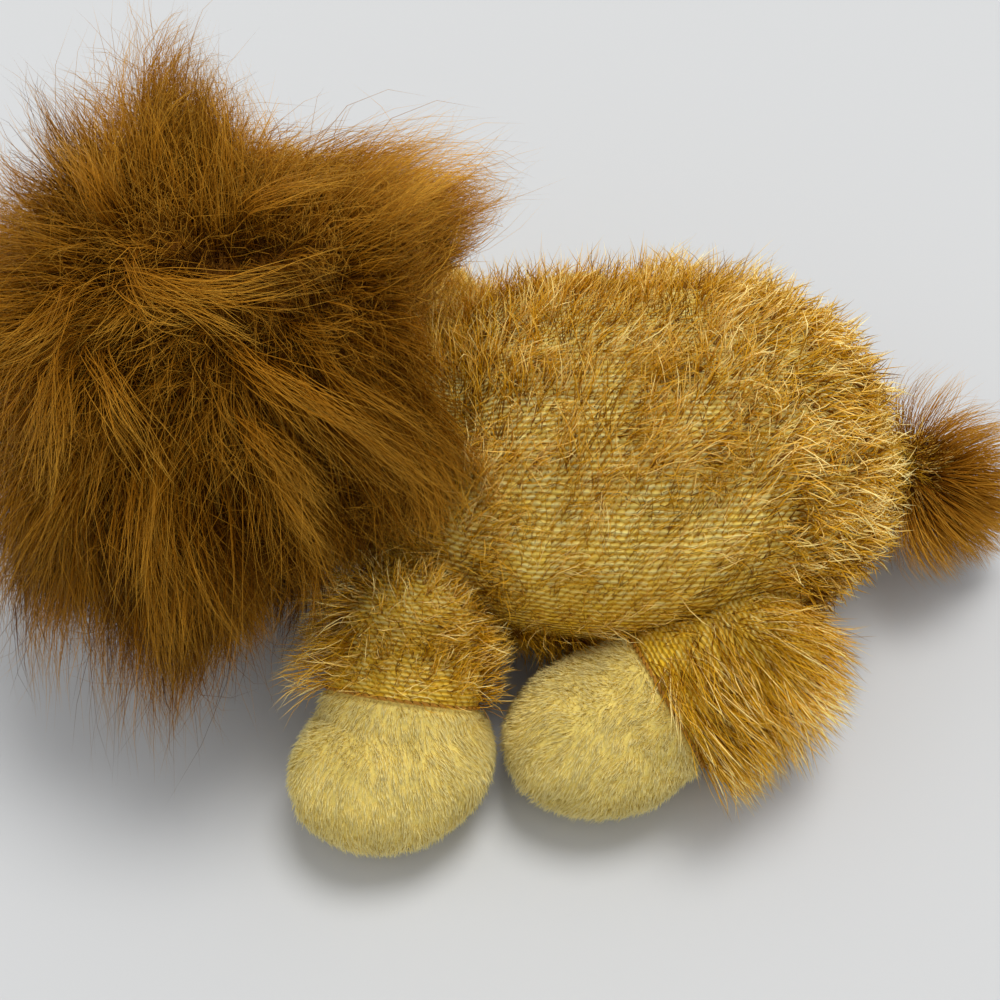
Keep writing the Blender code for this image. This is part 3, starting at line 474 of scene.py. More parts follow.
def cloth_map(item, origin, axis, rows_round=False):
    """Stores the cloth's own measures in metres: along the axis and round it."""
    mesh = item.data
    axis = np.array(Vector(axis).normalized())
    upward = np.array(UP) - axis * axis[2]
    upward /= np.linalg.norm(upward)
    side = np.cross(axis, upward)
    offset = coordinates(item) - np.array(origin)
    along = offset @ axis
    turn = np.arctan2(offset @ side, offset @ upward)
    radius = np.median(np.hypot(offset @ side, offset @ upward))
    corners = loop_array(mesh.loops, "vertex_index")
    first = turn[corners[loop_array(mesh.polygons, "loop_start")]]
    first = np.repeat(first, loop_array(mesh.polygons, "loop_total"))
    angle = turn[corners]
    angle = first + (angle - first + pi) % (2 * pi) - pi
    layer = mesh.uv_layers.get("cloth") or mesh.uv_layers.new(name="cloth")
    measures = (angle * radius, along[corners]) if rows_round else (along[corners], angle * radius)
    layer.data.foreach_set("uv", np.column_stack(measures).astype(np.float32).ravel())


def dress(item, material, body, stands_for=None):
    """Gives a finished piece its cloth or plastic, its body and what it stands for."""
    pick(item)
    bpy.ops.object.shade_smooth_by_angle(angle=radians(50))
    item.data.materials.clear()
    item.data.materials.append(material)
    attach(item, body)
    if stands_for:
        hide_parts(stands_for)


# Shader groups


def feed(tree, value, socket):
    """Links a socket to its source, or sets it to a number or a colour."""
    if isinstance(value, bpy.types.NodeSocket):
        tree.links.new(value, socket)
    else:
        socket.default_value = (*value, 1) if isinstance(value, tuple) else value


def node(tree, kind, values=(), **settings):
    """Adds a shader node with these settings and feeds the inputs that values names."""
    added = tree.nodes.new("ShaderNode" + kind)
    for label, value in settings.items():
        setattr(added, label, value)
    for label, value in dict(values).items():
        feed(tree, value, added.inputs[label])
    return added


def maths(tree, operation, *values):
    return node(tree, "Math", enumerate(values), operation=operation).outputs[0]


def at_least_none(tree, value):
    return maths(tree, "MAXIMUM", value, 0.0)


def at_most_one(tree, value):
    return maths(tree, "MINIMUM", value, 1.0)


def blended(tree, share, first, second):
    mix = node(tree, "Mix", data_type="RGBA")
    for value, socket in zip((share, first, second), [socket for socket in mix.inputs if socket.enabled]):
        feed(tree, value, socket)
    return next(socket for socket in mix.outputs if socket.enabled)


def noise(tree, vector, scale, detail=2.0):
    return node(tree, "TexNoise", {"Vector": vector, "Scale": scale, "Detail": detail}).outputs["Fac"]


def brightened(tree, base, factor):
    return node(tree, "HueSaturation", {"Color": base, "Value": factor}).outputs[0]


def bumped(tree, height, strength, distance):
    return node(tree, "Bump", {"Height": height, "Strength": strength, "Distance": distance}).outputs[0]


def object_place(tree):
    return node(tree, "TexCoord").outputs["Object"]


def placed_group(tree, name, build, inputs, outputs):
    """Places the shader group of this name, which its first use builds, and feeds its inputs."""
    group = bpy.data.node_groups.get(name)
    if group is None:
        group = bpy.data.node_groups.new(name, "ShaderNodeTree")
        for label, value in inputs.items():
            kind = "Color" if isinstance(value, tuple) else "Float"
            kind = "Vector" if getattr(value, "type", "") == "VECTOR" else kind
            group.interface.new_socket(name=label, in_out="INPUT", socket_type="NodeSocket" + kind)
        for label in outputs:
            kind = "Color" if label == "Colour" else "Float"
            group.interface.new_socket(name=label, in_out="OUTPUT", socket_type="NodeSocket" + kind)
        given = group.nodes.new("NodeGroupInput").outputs
        result = group.nodes.new("NodeGroupOutput").inputs
        for label, value in zip(outputs, build(group, *(given[label] for label in inputs))):
            group.links.new(value, result[label])
    return node(tree, "Group", inputs, node_tree=group).outputs


def fibre_colour(tree, along, shade, root, middle, tip, spread, fall, ends):
    """Colour of a fibre from root to tip, with a different shade for each fibre. The shade is chance tone, and on the
    mane and in the body's creases it is also painted light and shade; low shades pull a fibre towards its root colour.
    """
    pale = at_least_none(tree, maths(tree, "MULTIPLY_ADD", shade, 2.6, -1.9))
    dull = at_least_none(tree, maths(tree, "MULTIPLY_ADD", shade, -2.4, 0.80))
    low = at_most_one(tree, maths(tree, "MULTIPLY", along, 2.2))
    high = at_most_one(tree, maths(tree, "MULTIPLY_ADD", maths(tree, "POWER", along, fall), ends, pale))
    base = blended(tree, at_least_none(tree, maths(tree, "SUBTRACT", low, dull)), root, middle)
    base = blended(tree, at_least_none(tree, maths(tree, "SUBTRACT", high, dull)), base, tip)
    factor = maths(tree, "MULTIPLY_ADD", maths(tree, "SUBTRACT", shade, 0.5), spread, 1.0)
    return brightened(tree, base, factor), maths(tree, "MULTIPLY_ADD", shade, 0.12, 0.34)


def knit_rows(tree, cloth, row, loop):
    """Rows of satin loops, in the cloth's own measures."""
    split = node(tree, "SeparateXYZ", {0: cloth}).outputs
    waver = maths(tree, "MULTIPLY_ADD", noise(tree, cloth, 260.0, 3.0), 0.0010, -0.0005)
    rows = maths(tree, "DIVIDE", maths(tree, "ADD", split["Y"], waver), row)
    number = maths(tree, "FLOOR", rows)
    inside = maths(tree, "SUBTRACT", rows, number)
    slope = maths(tree, "MULTIPLY_ADD", inside, 0.35, maths(tree, "MULTIPLY", waver, 300.0))
    loops = maths(tree, "MULTIPLY_ADD", number, 0.5, maths(tree, "DIVIDE", split["X"], loop))
    loops = maths(tree, "ADD", loops, slope)
    bead = maths(tree, "SINE", maths(tree, "MULTIPLY", maths(tree, "FRACT", loops), pi))
    bead = maths(tree, "ADD", maths(tree, "POWER", bead, 0.5), 0.22)
    edge = maths(tree, "ABSOLUTE", maths(tree, "MULTIPLY_ADD", inside, 2.0, -1.0))
    height = at_least_none(tree, maths(tree, "SUBTRACT", 1.0, maths(tree, "DIVIDE", edge, bead)))
    cell = node(tree, "CombineXYZ", {0: number, 1: maths(tree, "FLOOR", loops)}).outputs[0]
    luck = node(tree, "TexWhiteNoise", {"Vector": cell}, noise_dimensions="3D").outputs["Value"]
    gap = maths(tree, "POWER", maths(tree, "SUBTRACT", 1.0, height), 2.2)
    # The sheen is a painted highlight on the top of each loop, of chance strength.
    return height, gap, maths(tree, "MULTIPLY", maths(tree, "POWER", height, 1.5), luck)


def brushed_nap(tree, place, base):
    """Short brushed pile seen as soft flecks."""
    fine = noise(tree, place, 2600.0, 3.0)
    broad = maths(tree, "MULTIPLY_ADD", noise(tree, place, 180.0), 0.4, 0.85)
    flecks = maths(tree, "MULTIPLY", maths(tree, "MULTIPLY_ADD", fine, 0.45, 0.62), broad)
    return brightened(tree, base, flecks), fine


def fresh_material(name, build, roughness, specular, **values):
    """The material of this name, which its first use builds."""
    material = bpy.data.materials.get(name)
    if material is None:
        material = bpy.data.materials.new(name)
        material.use_nodes = True
        tree = material.node_tree
        values = {"Roughness": roughness, "Specular IOR Level": specular, **values, **build(tree)}
        for label, value in values.items():
            feed(tree, value, tree.nodes["Principled BSDF"].inputs[label])
    return material


def fibre_material(name, root, middle, tip, spread, specular, fall=2.2, ends=1.0):
    def build(tree):
        inputs = {label: node(tree, "Attribute", attribute_name=label).outputs["Fac"] for label in ("along", "shade")}
        inputs |= {"root": root, "middle": middle, "tip": tip, "spread": spread, "fall": fall, "ends": ends}
        made = placed_group(tree, "fibre colour", fibre_colour, inputs, ("Colour", "Roughness"))
        return {"Base Color": made["Colour"], "Roughness": made["Roughness"]}

    return fresh_material(name, build, 0.45, specular, **{"Specular Tint": tip})


def knit_material():
    def build(tree):
        inputs = {"Cloth": node(tree, "UVMap", uv_map="cloth").outputs[0], "Row": KNIT_ROW, "Loop": KNIT_LOOP}
        rows = placed_group(tree, "knit rows", knit_rows, inputs, ("Height", "Gap", "Sheen"))
        height = node(tree, "SeparateXYZ", {0: object_place(tree)}).outputs["Z"]
        # Painted light: the higher the knit stands, the more it turns to the lighter upper colour.
        lift = at_most_one(tree, at_least_none(tree, maths(tree, "MULTIPLY_ADD", height, 36.0, -1.0)))
        base = blended(tree, lift, colour("knit"), colour("knit_high"))
        base = blended(tree, rows["Gap"], base, colour("knit_gap"))
        # Painted highlight: each loop's sheen, of chance strength and stronger higher up, blends towards the satin
        # highlight colour.
        sheen = maths(tree, "MULTIPLY", rows["Sheen"], maths(tree, "ADD", lift, 0.55))
        return {
            "Base Color": blended(tree, at_most_one(tree, sheen), base, colour("satin")),
            "Roughness": maths(tree, "MULTIPLY_ADD", rows["Height"], -0.25, 0.6),
            "Normal": bumped(tree, rows["Height"], 0.9, 0.0006),
        }

    return fresh_material("gold satin knit", build, 0.4, 0.6, **{"Specular Tint": colour("knit_high")})


def nap_material(name, shade, roughness=0.9):
    def build(tree):
        inputs = {"Place": object_place(tree), "Base": shade}
        nap = placed_group(tree, "brushed nap", brushed_nap, inputs, ("Colour", "Height"))
        return {"Base Color": nap["Colour"], "Normal": bumped(tree, nap["Height"], 0.5, 0.0003)}

    return fresh_material(name, build, roughness, 0.2)


def plastic_material(name, shade, roughness):
    def build(tree):
        cloud = noise(tree, object_place(tree), 420.0, 3.0)
        paler = tuple(min(1.0, part * 1.5 + 0.004) for part in shade)
        wear = maths(tree, "MULTIPLY_ADD", cloud, 0.10, roughness - 0.05)
        return {"Base Color": blended(tree, cloud, shade, paler), "Roughness": wear}

    return fresh_material(name, build, roughness, 0.5)


def underfur_material():
    return nap_material("brown underfur", colour("mane_under"))


# Fibres


def unit(vectors):
    return vectors / np.maximum(np.linalg.norm(vectors, axis=-1, keepdims=True), 1e-9)


def skin_points(item, count, rng, keep):
    """Random places on a skin, evenly by area where keep is 1, with the skin's normals."""
    mesh = item.data
    mesh.calc_loop_triangles()
    corners = loop_array(mesh.loop_triangles, "vertices", 3).reshape(-1, 3)
    points = coordinates(item)
    first, second, third = (points[corners[:, number]] for number in range(3))
    cross = np.cross(second - first, third - first)
    area = np.linalg.norm(cross, axis=1)
    normal = cross / np.maximum(area, 1e-15)[:, None]
    weight = area * keep((first + second + third) / 3, normal)
    chosen = rng.choice(len(weight), count, p=weight / weight.sum())
    reach = np.sqrt(rng.random(count))[:, None]
    split = rng.random(count)[:, None]
    place = (1 - reach) * first[chosen] + reach * (1 - split) * second[chosen] + reach * split * third[chosen]
    return place, normal[chosen]


def grow(roots, start, bend, length, steps):
    """Fibres that start along one direction and turn a little more at each step."""
    path = np.empty((len(roots), steps + 1, 3))
    path[:, 0] = roots
    way = unit(start)
    for step in range(steps):
        path[:, step + 1] = path[:, step] + way * (length / steps)[:, None]
        way = unit(way + bend(path[:, step + 1], (step + 1) / steps))
    return path


def nearest(points, guides):
    tree = KDTree(len(guides))
    for number, place in enumerate(guides):
        tree.insert(place, number)
    tree.balance()
    return np.array([tree.find(place)[1] for place in points])


def gather(path, guide_count, strength, power, rng):
    """Draws the ends of the fibres together into locks."""
    guides = rng.choice(len(path), guide_count, replace=False)
    home = guides[nearest(path[:, 0], path[guides, 0])]
    pull = np.linspace(0, 1, path.shape[1]) ** power
    share = strength * (0.6 + 0.4 * rng.random(len(path)))
    return path + (path[home] - path) * (share[:, None] * pull)[:, :, None], home


def fibre_mesh(name, path, radius, shade, taper):
    """Three-sided closed fibres that thin out towards the tip, in one mesh."""
    count, points = path.shape[:2]
    rings = points - 1
    along = unit(np.gradient(path, axis=1))
    hint = unit(np.cross(along[:, 0], np.roll(along[:, 0], 1, axis=1) + 0.37))
    across = unit(hint[:, None] - (hint[:, None] * along).sum(2, keepdims=True) * along)
    upward = np.cross(along, across)
    thickness = (radius[:, None] * np.array(taper)[None, :rings])[:, :, None]
    turns = [(cos(angle), sin(angle)) for angle in (0, 2 * pi / 3, 4 * pi / 3)]
    across, upward = across[:, :rings], upward[:, :rings]
    sides = [path[:, :rings] + thickness * (far * across + high * upward) for far, high in turns]
    body = np.stack(sides, axis=2).reshape(count, rings * 3, 3)
    vertices = np.concatenate((body, path[:, -1:]), axis=1)
    stride = rings * 3 + 1
    edges = ((0, 1), (1, 2), (2, 0))
    quads = [(low + a, low + b, low + 3 + b, low + 3 + a) for low in range(0, rings * 3 - 3, 3) for a, b in edges]
    last = rings * 3 - 3
    ends = [(last + a, last + b, stride - 1) for a, b in edges] + [(2, 1, 0)]
    base = np.arange(count, dtype=np.int64)[:, None, None] * stride
    corners = [(base + np.array(faces)).reshape(-1) for faces in (quads, ends)]
    corners = np.concatenate(corners).astype(np.int32)
    quad_total, end_total = count * len(quads), count * len(ends)
    starts = np.concatenate((np.arange(quad_total) * 4, quad_total * 4 + np.arange(end_total) * 3)).astype(np.int32)
    mesh = bpy.data.meshes.new(name)
    mesh.vertices.add(count * stride)
    mesh.vertices.foreach_set("co", vertices.astype(np.float32).ravel())
    mesh.loops.add(len(corners))
    mesh.loops.foreach_set("vertex_index", corners)
    mesh.polygons.add(quad_total + end_total)
    mesh.polygons.foreach_set("loop_start", starts)
    mesh.polygons.foreach_set("use_smooth", np.ones(quad_total + end_total, bool))
    reach = np.concatenate((np.repeat(np.linspace(0, 1, points)[:rings], 3), [1.0]))
    along_values = np.tile(reach, count)
    shade_values = np.repeat(shade, stride)
    lean = np.concatenate((np.tile((-0.004, 0.0, 0.004), rings), [0.0]))
    spot = np.column_stack((shade_values * 0.97 + 0.015 + np.tile(lean, count), along_values * 0.97 + 0.015))
    for label, values in (("along", along_values), ("shade", shade_values)):
        layer = mesh.attributes.new(label, "FLOAT", "POINT")
        layer.data.foreach_set("value", values.astype(np.float32))
    places = mesh.uv_layers.new(name="OFBake")
    places.data.foreach_set("uv", spot[corners].astype(np.float32).ravel())
    mesh.update(calc_edges=True)
    item = bpy.data.objects.new(name, mesh)
    bpy.context.scene.collection.objects.link(item)
    return item


def fur_piece(name, path, radius, shade, material, body, slot, taper, parts=1):
    """One to several pieces of fur, none of them too heavy to keep."""
    low, high = np.array(CAD_LOW) - PROUD, np.array(CAD_HIGH) + PROUD
    low[2] = FLOOR_ROOM
    path = np.clip(path, low, high)
    for number, chosen in enumerate(np.array_split(np.arange(len(path)), parts)):
        label = name if parts == 1 else f"{name}_{number + 1}"
        item = fibre_mesh(label, path[chosen], radius[chosen], np.clip(shade[chosen], 0, 1), taper)
        item.data.materials.append(material)
        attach(item, body)


def smooth_noise(points, rng, scale, waves=6):
    """A soft random value from -1 to 1 that varies over the given distance."""
    total = np.zeros(len(points))
    for _ in range(waves):
        way = rng.normal(size=3)
        way /= np.linalg.norm(way) * scale
        total += np.sin(points @ way * 2 * pi + rng.random() * 2 * pi)
    return total / waves * 1.6


def smooth_vectors(points, rng, scale):
    return np.column_stack([smooth_noise(points, rng, scale) for _ in range(3)])


def shades(roots, rng, middle, broad, scale, fine):
    """A shade for each fibre, which drifts over the skin and has a chance part of its own."""
    return middle + broad * smooth_noise(roots, rng, scale) + fine * (rng.random(len(roots)) - 0.5)


def step_between(values, low, high):
    share = np.clip((values - low) / (high - low), 0, 1)
    return share * share * (3 - 2 * share)


def band(values, rise_from, rise_to, fall_from, fall_to):
    return step_between(values, rise_from, rise_to) * (1 - step_between(values, fall_from, fall_to))


def along_skin(vectors, normals):
    return vectors - (vectors * normals).sum(1, keepdims=True) * normals


def distances(points, place):
    return np.linalg.norm(points - np.array(place), axis=1)


def short_pile(name, roots, start, bend, length, rng, lock, tone, radius, *looks):
    """Grows two-jointed fibres: lock gives the fewest locks, the fibres in each and how tightly they gather."""
    fewest, each, strength = lock
    path = grow(roots, start, bend, length, 2)
    path, _ = gather(path, max(fewest, len(roots) // each), strength, 1.1, rng)
    shade = shades(roots, rng, 0.5, *tone)
    radius = radius * (0.75 + 0.5 * rng.random(len(roots)))
    fur_piece(name, path, radius, shade, *looks, (1.0, 0.8))


def gold_material():
    tones = [colour("body_" + part) for part in ("root", "middle", "tip")]
    return fibre_material("gold eyelash fibre", *tones, 0.9, 0.3, 3.0, 0.35)


def mane_material():
    tones = [colour("mane_" + part) for part in ("root", "middle", "tip")]
    return fibre_material("brown mane fibre", *tones, 0.9, 0.12, 1.8)


def body_form(name, swell=0.0):
    rings = [(z, y, x + swell, h + swell, lean) for z, y, x, h, lean in BODY_RINGS]
    place = basis(Vector((0, -1, 0)), UP, Vector((-1, 0, 0)))
    return loft(name, rings, place)


class LION_OT_torso(bpy.types.Operator):
    """Builds the two sides and the underside of the body"""

    bl_idname = "lion.torso"
    bl_label = "Torso"

    def execute(self, context):
        whole = body_form("torso_whole")
        sockets = [ball(leg.name + "_socket", leg.hip, LEG_ROOT_RADIUS + CLEARANCE) for leg in LEGS]
        sockets.append(ball("tail_socket", TAIL_HINGE, TAIL_ROOT_RADIUS + CLEARANCE, 16))
        combine(whole, "DIFFERENCE", *sockets)
        sliced(whole, (0, 0, 0), (0, 0, -1))
        half = CLEARANCE / 2
        above = ((0, 0, BELLY_SEAM_Z + half), (0, 0, -1))
        for name, cuts in (
            ("torso_left", (((0, -half, 0), (0, 1, 0)), above)),
            ("torso_right", (((0, half, 0), (0, -1, 0)), above)),
            ("belly", (((0, 0, BELLY_SEAM_Z - half), (0, 0, 1)),)),
        ):
            item = copied(whole, name + "_skin")
            for point, normal in cuts:
                sliced(item, point, normal)
            soften_edges(item, 0.0005)
            cloth_map(item, (0, 0, BODY_MIDDLE_Z), (1, 0, 0))
            dress(item, knit_material(), "torso", name + "_panel")
        removed(whole)
        return {"FINISHED"}


class LION_OT_legs(bpy.types.Operator):
    """Builds the sleeve, the upper and the sole of each leg"""

    bl_idname = "lion.legs"
    bl_label = "Legs and paws"

    def execute(self, context):
        plush = nap_material("pale yellow backing", colour("paw_root"))
        body_space = body_form("body_space", CLEARANCE)
        for leg in LEGS:
            self.sleeve(leg, body_space)
            foot = ball(leg.name + "_foot", leg.paw, PAW_RADII, 48, Matrix.Rotation(leg.turn, 4, "Z"))
            length = (leg.paw - leg.hip).length
            rings = (
                (leg.ankle_out - 0.0020, 0, 0.0136, 0.0120, 0),
                (leg.ankle_out + 0.0030, 0, 0.0143, 0.0124, 0),
                (0.85 * length, 0, 0.0146, 0.0124, 0),
                (length, 0, 0.0120, 0.0105, 0),
            )
            combine(foot, "UNION", loft(leg.name + "_instep", rings, leg.place))
            combine(foot, "DIFFERENCE", body_space, keep=True)
            sliced(foot, leg.ankle + leg.along * (CLEARANCE / 2), -leg.along)
            sliced(foot, (0, 0, 0), (0, 0, -1))
            sole, upper = (copied(foot, leg.name + part) for part in ("_sole_skin", "_paw_skin"))
            for item, node_name, side in ((upper, "_paw_upper", -1), (sole, "_paw_sole", 1)):
                sliced(item, (0, 0, SOLE_SEAM_Z - side * CLEARANCE / 2), (0, 0, side))
                soften_edges(item, 0.0008)
                dress(item, plush, leg.body, leg.name + node_name)
            removed(foot)
        removed(body_space)
        return {"FINISHED"}

    def sleeve(self, leg, body_space):
        rings = (
            (-0.0035, 0, 0.0104, 0.0110, 0),
            (0.25 * leg.ankle_out, 0, 0.0135, 0.0126, 0),
            (0.70 * leg.ankle_out, 0, 0.0145, 0.0129, 0),
            (1.30 * leg.ankle_out, 0, 0.0140, 0.0124, 0),
        )
        sleeve = loft(leg.name + "_sleeve_skin", rings, leg.place)
        sliced(sleeve, leg.ankle - leg.along * (CLEARANCE / 2), leg.along)
        combine(sleeve, "DIFFERENCE", body_space, keep=True)
        combine(sleeve, "UNION", ball(leg.name + "_root", leg.hip, LEG_ROOT_RADIUS))
        sliced(sleeve, (0, 0, 0), (0, 0, -1))
        soften_edges(sleeve, 0.0004)
        cloth_map(sleeve, leg.hip, leg.along, rows_round=True)
        dress(sleeve, knit_material(), leg.body, leg.name + "_sleeve")


class LION_OT_head(bpy.types.Operator):
    """Builds the hood behind the mane, the face, the muzzle, the chin and the ears"""

    bl_idname = "lion.head"
    bl_label = "Head"

    def execute(self, context):
        place = Matrix.Translation(HEAD_CENTRE) @ basis(HEAD_RIGHT, LOOK, HEAD_TOP)
        hood = ball("mane_hood", HEAD_CENTRE, HOOD_RADIUS, 64)
        sliced(hood, HEAD_CENTRE + LOOK * (HOOD_RADIUS * cos(FACE_HALF_ANGLE)), LOOK, fill=False)
        neck_angle = asin(NECK_OPENING / HOOD_RADIUS)
        sliced(hood, HEAD_CENTRE - NECK_OUT * (HOOD_RADIUS * cos(neck_angle)), -NECK_OUT, fill=False)
        walled(hood, HOOD_RADIUS - HEAD_INSIDE_RADIUS)
        self.swell(hood)
        dress(hood, underfur_material(), "head", "mane")

        face = ball("face_skin", HEAD_CENTRE, FACE_RADIUS, 64)
        sliced(face, HEAD_CENTRE + LOOK * (FACE_RADIUS * cos(FACE_HALF_ANGLE - FACE_OVERLAP)), -LOOK, fill=False)
        walled(face, SKIN)
        short = nap_material("gold face backing", colour("face_middle"))
        dress(face, short, "head", "face_panel")

        cream = nap_material("cream backing", colour("cream"))
        face_space = ball("face_space", HEAD_CENTRE, FACE_RADIUS + CLEARANCE, 48)
        pads = [ball("pad", (side * 0.0047, 0.0268, -0.0060), (0.0078, 0.0105, 0.0088)) for side in (-1, 1)]
        muzzle = joined(pads, "muzzle_skin")
        modified(muzzle, "REMESH", mode="VOXEL", voxel_size=0.0006)
        modified(muzzle, "SMOOTH", factor=0.5, iterations=12)
        self.seated(muzzle, place, (face_space,), cream, "cream", 0.8, "muzzle")
        chin = ball("chin_skin", (0, 0.0250, -0.0168), (0.0072, 0.0075, 0.0048))
        self.seated(chin, place, (face_space, muzzle), cream, "cream", 0.8, "chin")
        self.ears(place, face_space, short, cream)
        removed(face_space)
        return {"FINISHED"}

    def seated(self, item, place, neighbours, material, slot, fill, stands_for):
        """Sets a piece in its place on the head and cuts it to what it stands on."""
        item.data.transform(place)
        combine(item, "DIFFERENCE", *neighbours, keep=True)
        tidy_normals(item)
        dress(item, material, "head", stands_for)

    def swell(self, hood):
        """Lets the dense underfur stand out from the cloth, less at the face and clear of the neck."""
        places = coordinates(hood)
        offset = places - np.array(HEAD_CENTRE)
        distance = np.linalg.norm(offset, axis=1)
        way = offset / distance[:, None]
        from_look = np.arccos(np.clip(way @ np.array(LOOK), -1, 1))
        behind = way @ np.array(-NECK_OUT)
        free = step_between(from_look, radians(53), radians(74)) * (1 - step_between(behind, 0.74, 0.85))
        free *= distance > HEAD_INSIDE_RADIUS + SKIN
        rng = np.random.default_rng(5)
        goal = mane_reach(way) * UNDERFUR_SHARE * (1 + 0.06 * smooth_noise(places, rng, 0.008))
        goal = np.minimum(goal, NECK_ROOM / np.maximum(behind, 0.2))
        goal = distance + (np.maximum(goal, distance) - distance) * free
        places = np.array(HEAD_CENTRE) + way * goal[:, None]
        hood.data.vertices.foreach_set("co", places.ravel())
        hood.data.update()

    def ears(self, place, face_space, short, cream):
        tilt, spread_angle = radians(42), radians(46)
        for name, side in (("left", -1), ("right", 1)):
            spread = Vector((sin(spread_angle) * side, 0, cos(spread_angle)))
            way = spread * sin(tilt) + Vector((0, cos(tilt), 0))
            ahead = spread * -cos(tilt) + Vector((0, sin(tilt), 0))
            local = basis(ahead.cross(way), ahead, way)
            seat = place @ Matrix.Translation(way * EAR_DISTANCE) @ local
            dish_place = (0, 0.0016, 0)
            back = ball("ear_" + name + "_skin", (0, 0, 0), (0.0085, 0.0026, 0.0090))
            combine(back, "DIFFERENCE", ball("dish", dish_place, (0.0069, 0.0018, 0.0074)))
            self.seated(back, seat, (face_space,), short, "short_gold", 0.4, "ear_" + name)
            lining = ball("ear_lining_" + name + "_skin", dish_place, (0.0066, 0.0015, 0.0071))
            self.seated(lining, seat, (face_space,), cream, "cream", 0.4, "ear_lining_" + name)


class LION_OT_tail(bpy.types.Operator):
    """Builds the tail's sleeve and the core of its tuft"""

    bl_idname = "lion.tail"
    bl_label = "Tail"

    def execute(self, context):
        place = aimed(TAIL_HINGE, TAIL_ALONG)
        rings = (
            (-0.0044, 0, 0.0020, 0.0020, 0),
            (-0.0028, 0, 0.0038, 0.0038, 0),
            (0.0000, 0, 0.0047, 0.0047, 0),
            (0.0035, 0, 0.0041, 0.0041, 0),
            (0.0100, 0, 0.0038, 0.0038, 0),
            (0.0117, 0, 0.0030, 0.0030, 0),
        )
        sleeve = loft("tail_sleeve_skin", rings, place)
        cloth_map(sleeve, TAIL_HINGE, TAIL_ALONG)
        dress(sleeve, knit_material(), "tail", "tail_sleeve")
        core_rings = (
            (0.0062, 0, 0.0048, 0.0048, 0),
            (0.0100, 0, 0.0068, 0.0062, 0),
            (0.0160, 0, 0.0070, 0.0058, 0),
            (0.0230, 0, 0.0048, 0.0038, 0),
            (0.0270, 0, 0.0020, 0.0018, 0),
        )
        core = loft("tail_tuft_core", core_rings, place)
        dress(core, underfur_material(), "tail", "tail_tuft")
        return {"FINISHED"}


class LION_OT_trim(bpy.types.Operator):
    """Finishes the plastic eyes, nose and washers, the fillings and the thread at the ankles"""

    bl_idname = "lion.trim"
    bl_label = "Trim and fillings"

    def execute(self, context):
        washer = plastic_material("white washer plastic", (0.78, 0.78, 0.76), 0.45)
        eye = plastic_material("polished eye plastic", colour("eye"), 0.10)
        filling = nap_material("white filling", (0.82, 0.82, 0.80))
        materials = {
            "eye_washer_left": washer,
            "eye_washer_right": washer,
            "nose_washer": washer,
            "eye_left": eye,
            "eye_right": eye,
            "nose": plastic_material("nose plastic", colour("nose"), 0.28),
            "torso_stuffing": filling,
            "head_stuffing": filling,
            "pellet_bag": nap_material("pellet bag cloth", (0.72, 0.70, 0.66)),
        }
        materials |= {leg.name + "_filling": filling for leg in LEGS}
        for name, material in materials.items():
            for material_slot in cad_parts[name].material_slots:
                material_slot.material = material
        thread = nap_material("orange ankle thread", colour("thread"), 0.6)
        for leg in LEGS:
            self.ankle_thread(leg, thread)
        return {"FINISHED"}

    def ankle_thread(self, leg, thread):
        """Sets slanting stitches round the end of the sleeve, where they stand clear of the floor."""
        across, high, along = (leg.place.col[number].to_3d() for number in range(3))
        seam = leg.ankle - along * STITCH_LENGTH
        surface = BVHTree.FromObject(piece(leg.name + "_sleeve_skin"), bpy.context.evaluated_depsgraph_get())
        reach, floor_room = 0.03, 0.002
        radius = sizes().stitch_radius
        stitches = []
        for number in range(STITCHES):
            angle = 2 * pi * number / STITCHES
            out = across * cos(angle) + high * sin(angle)
            hit = surface.ray_cast(seam + out * reach, -out, reach)[0]
            if hit is None or hit.z < floor_room:
                continue
            lean = (out.cross(along) + along * 0.30).normalized()
            deselect_all()
            bpy.ops.mesh.primitive_uv_sphere_add(segments=6, ring_count=4, radius=1)
            stitch = bpy.context.object
            stitch.data.transform(Matrix.Diagonal((radius * 1.5, radius * 1.1, 0.0009, 1)))
            stitch.data.transform(basis(lean.cross(out).normalized(), out, lean))
            stitch.data.transform(Matrix.Translation(hit + along * STITCH_LENGTH + out * (radius * 0.5)))
            stitches.append(stitch)
        dress(joined(stitches, leg.name + "_ankle_thread"), thread, leg.body)


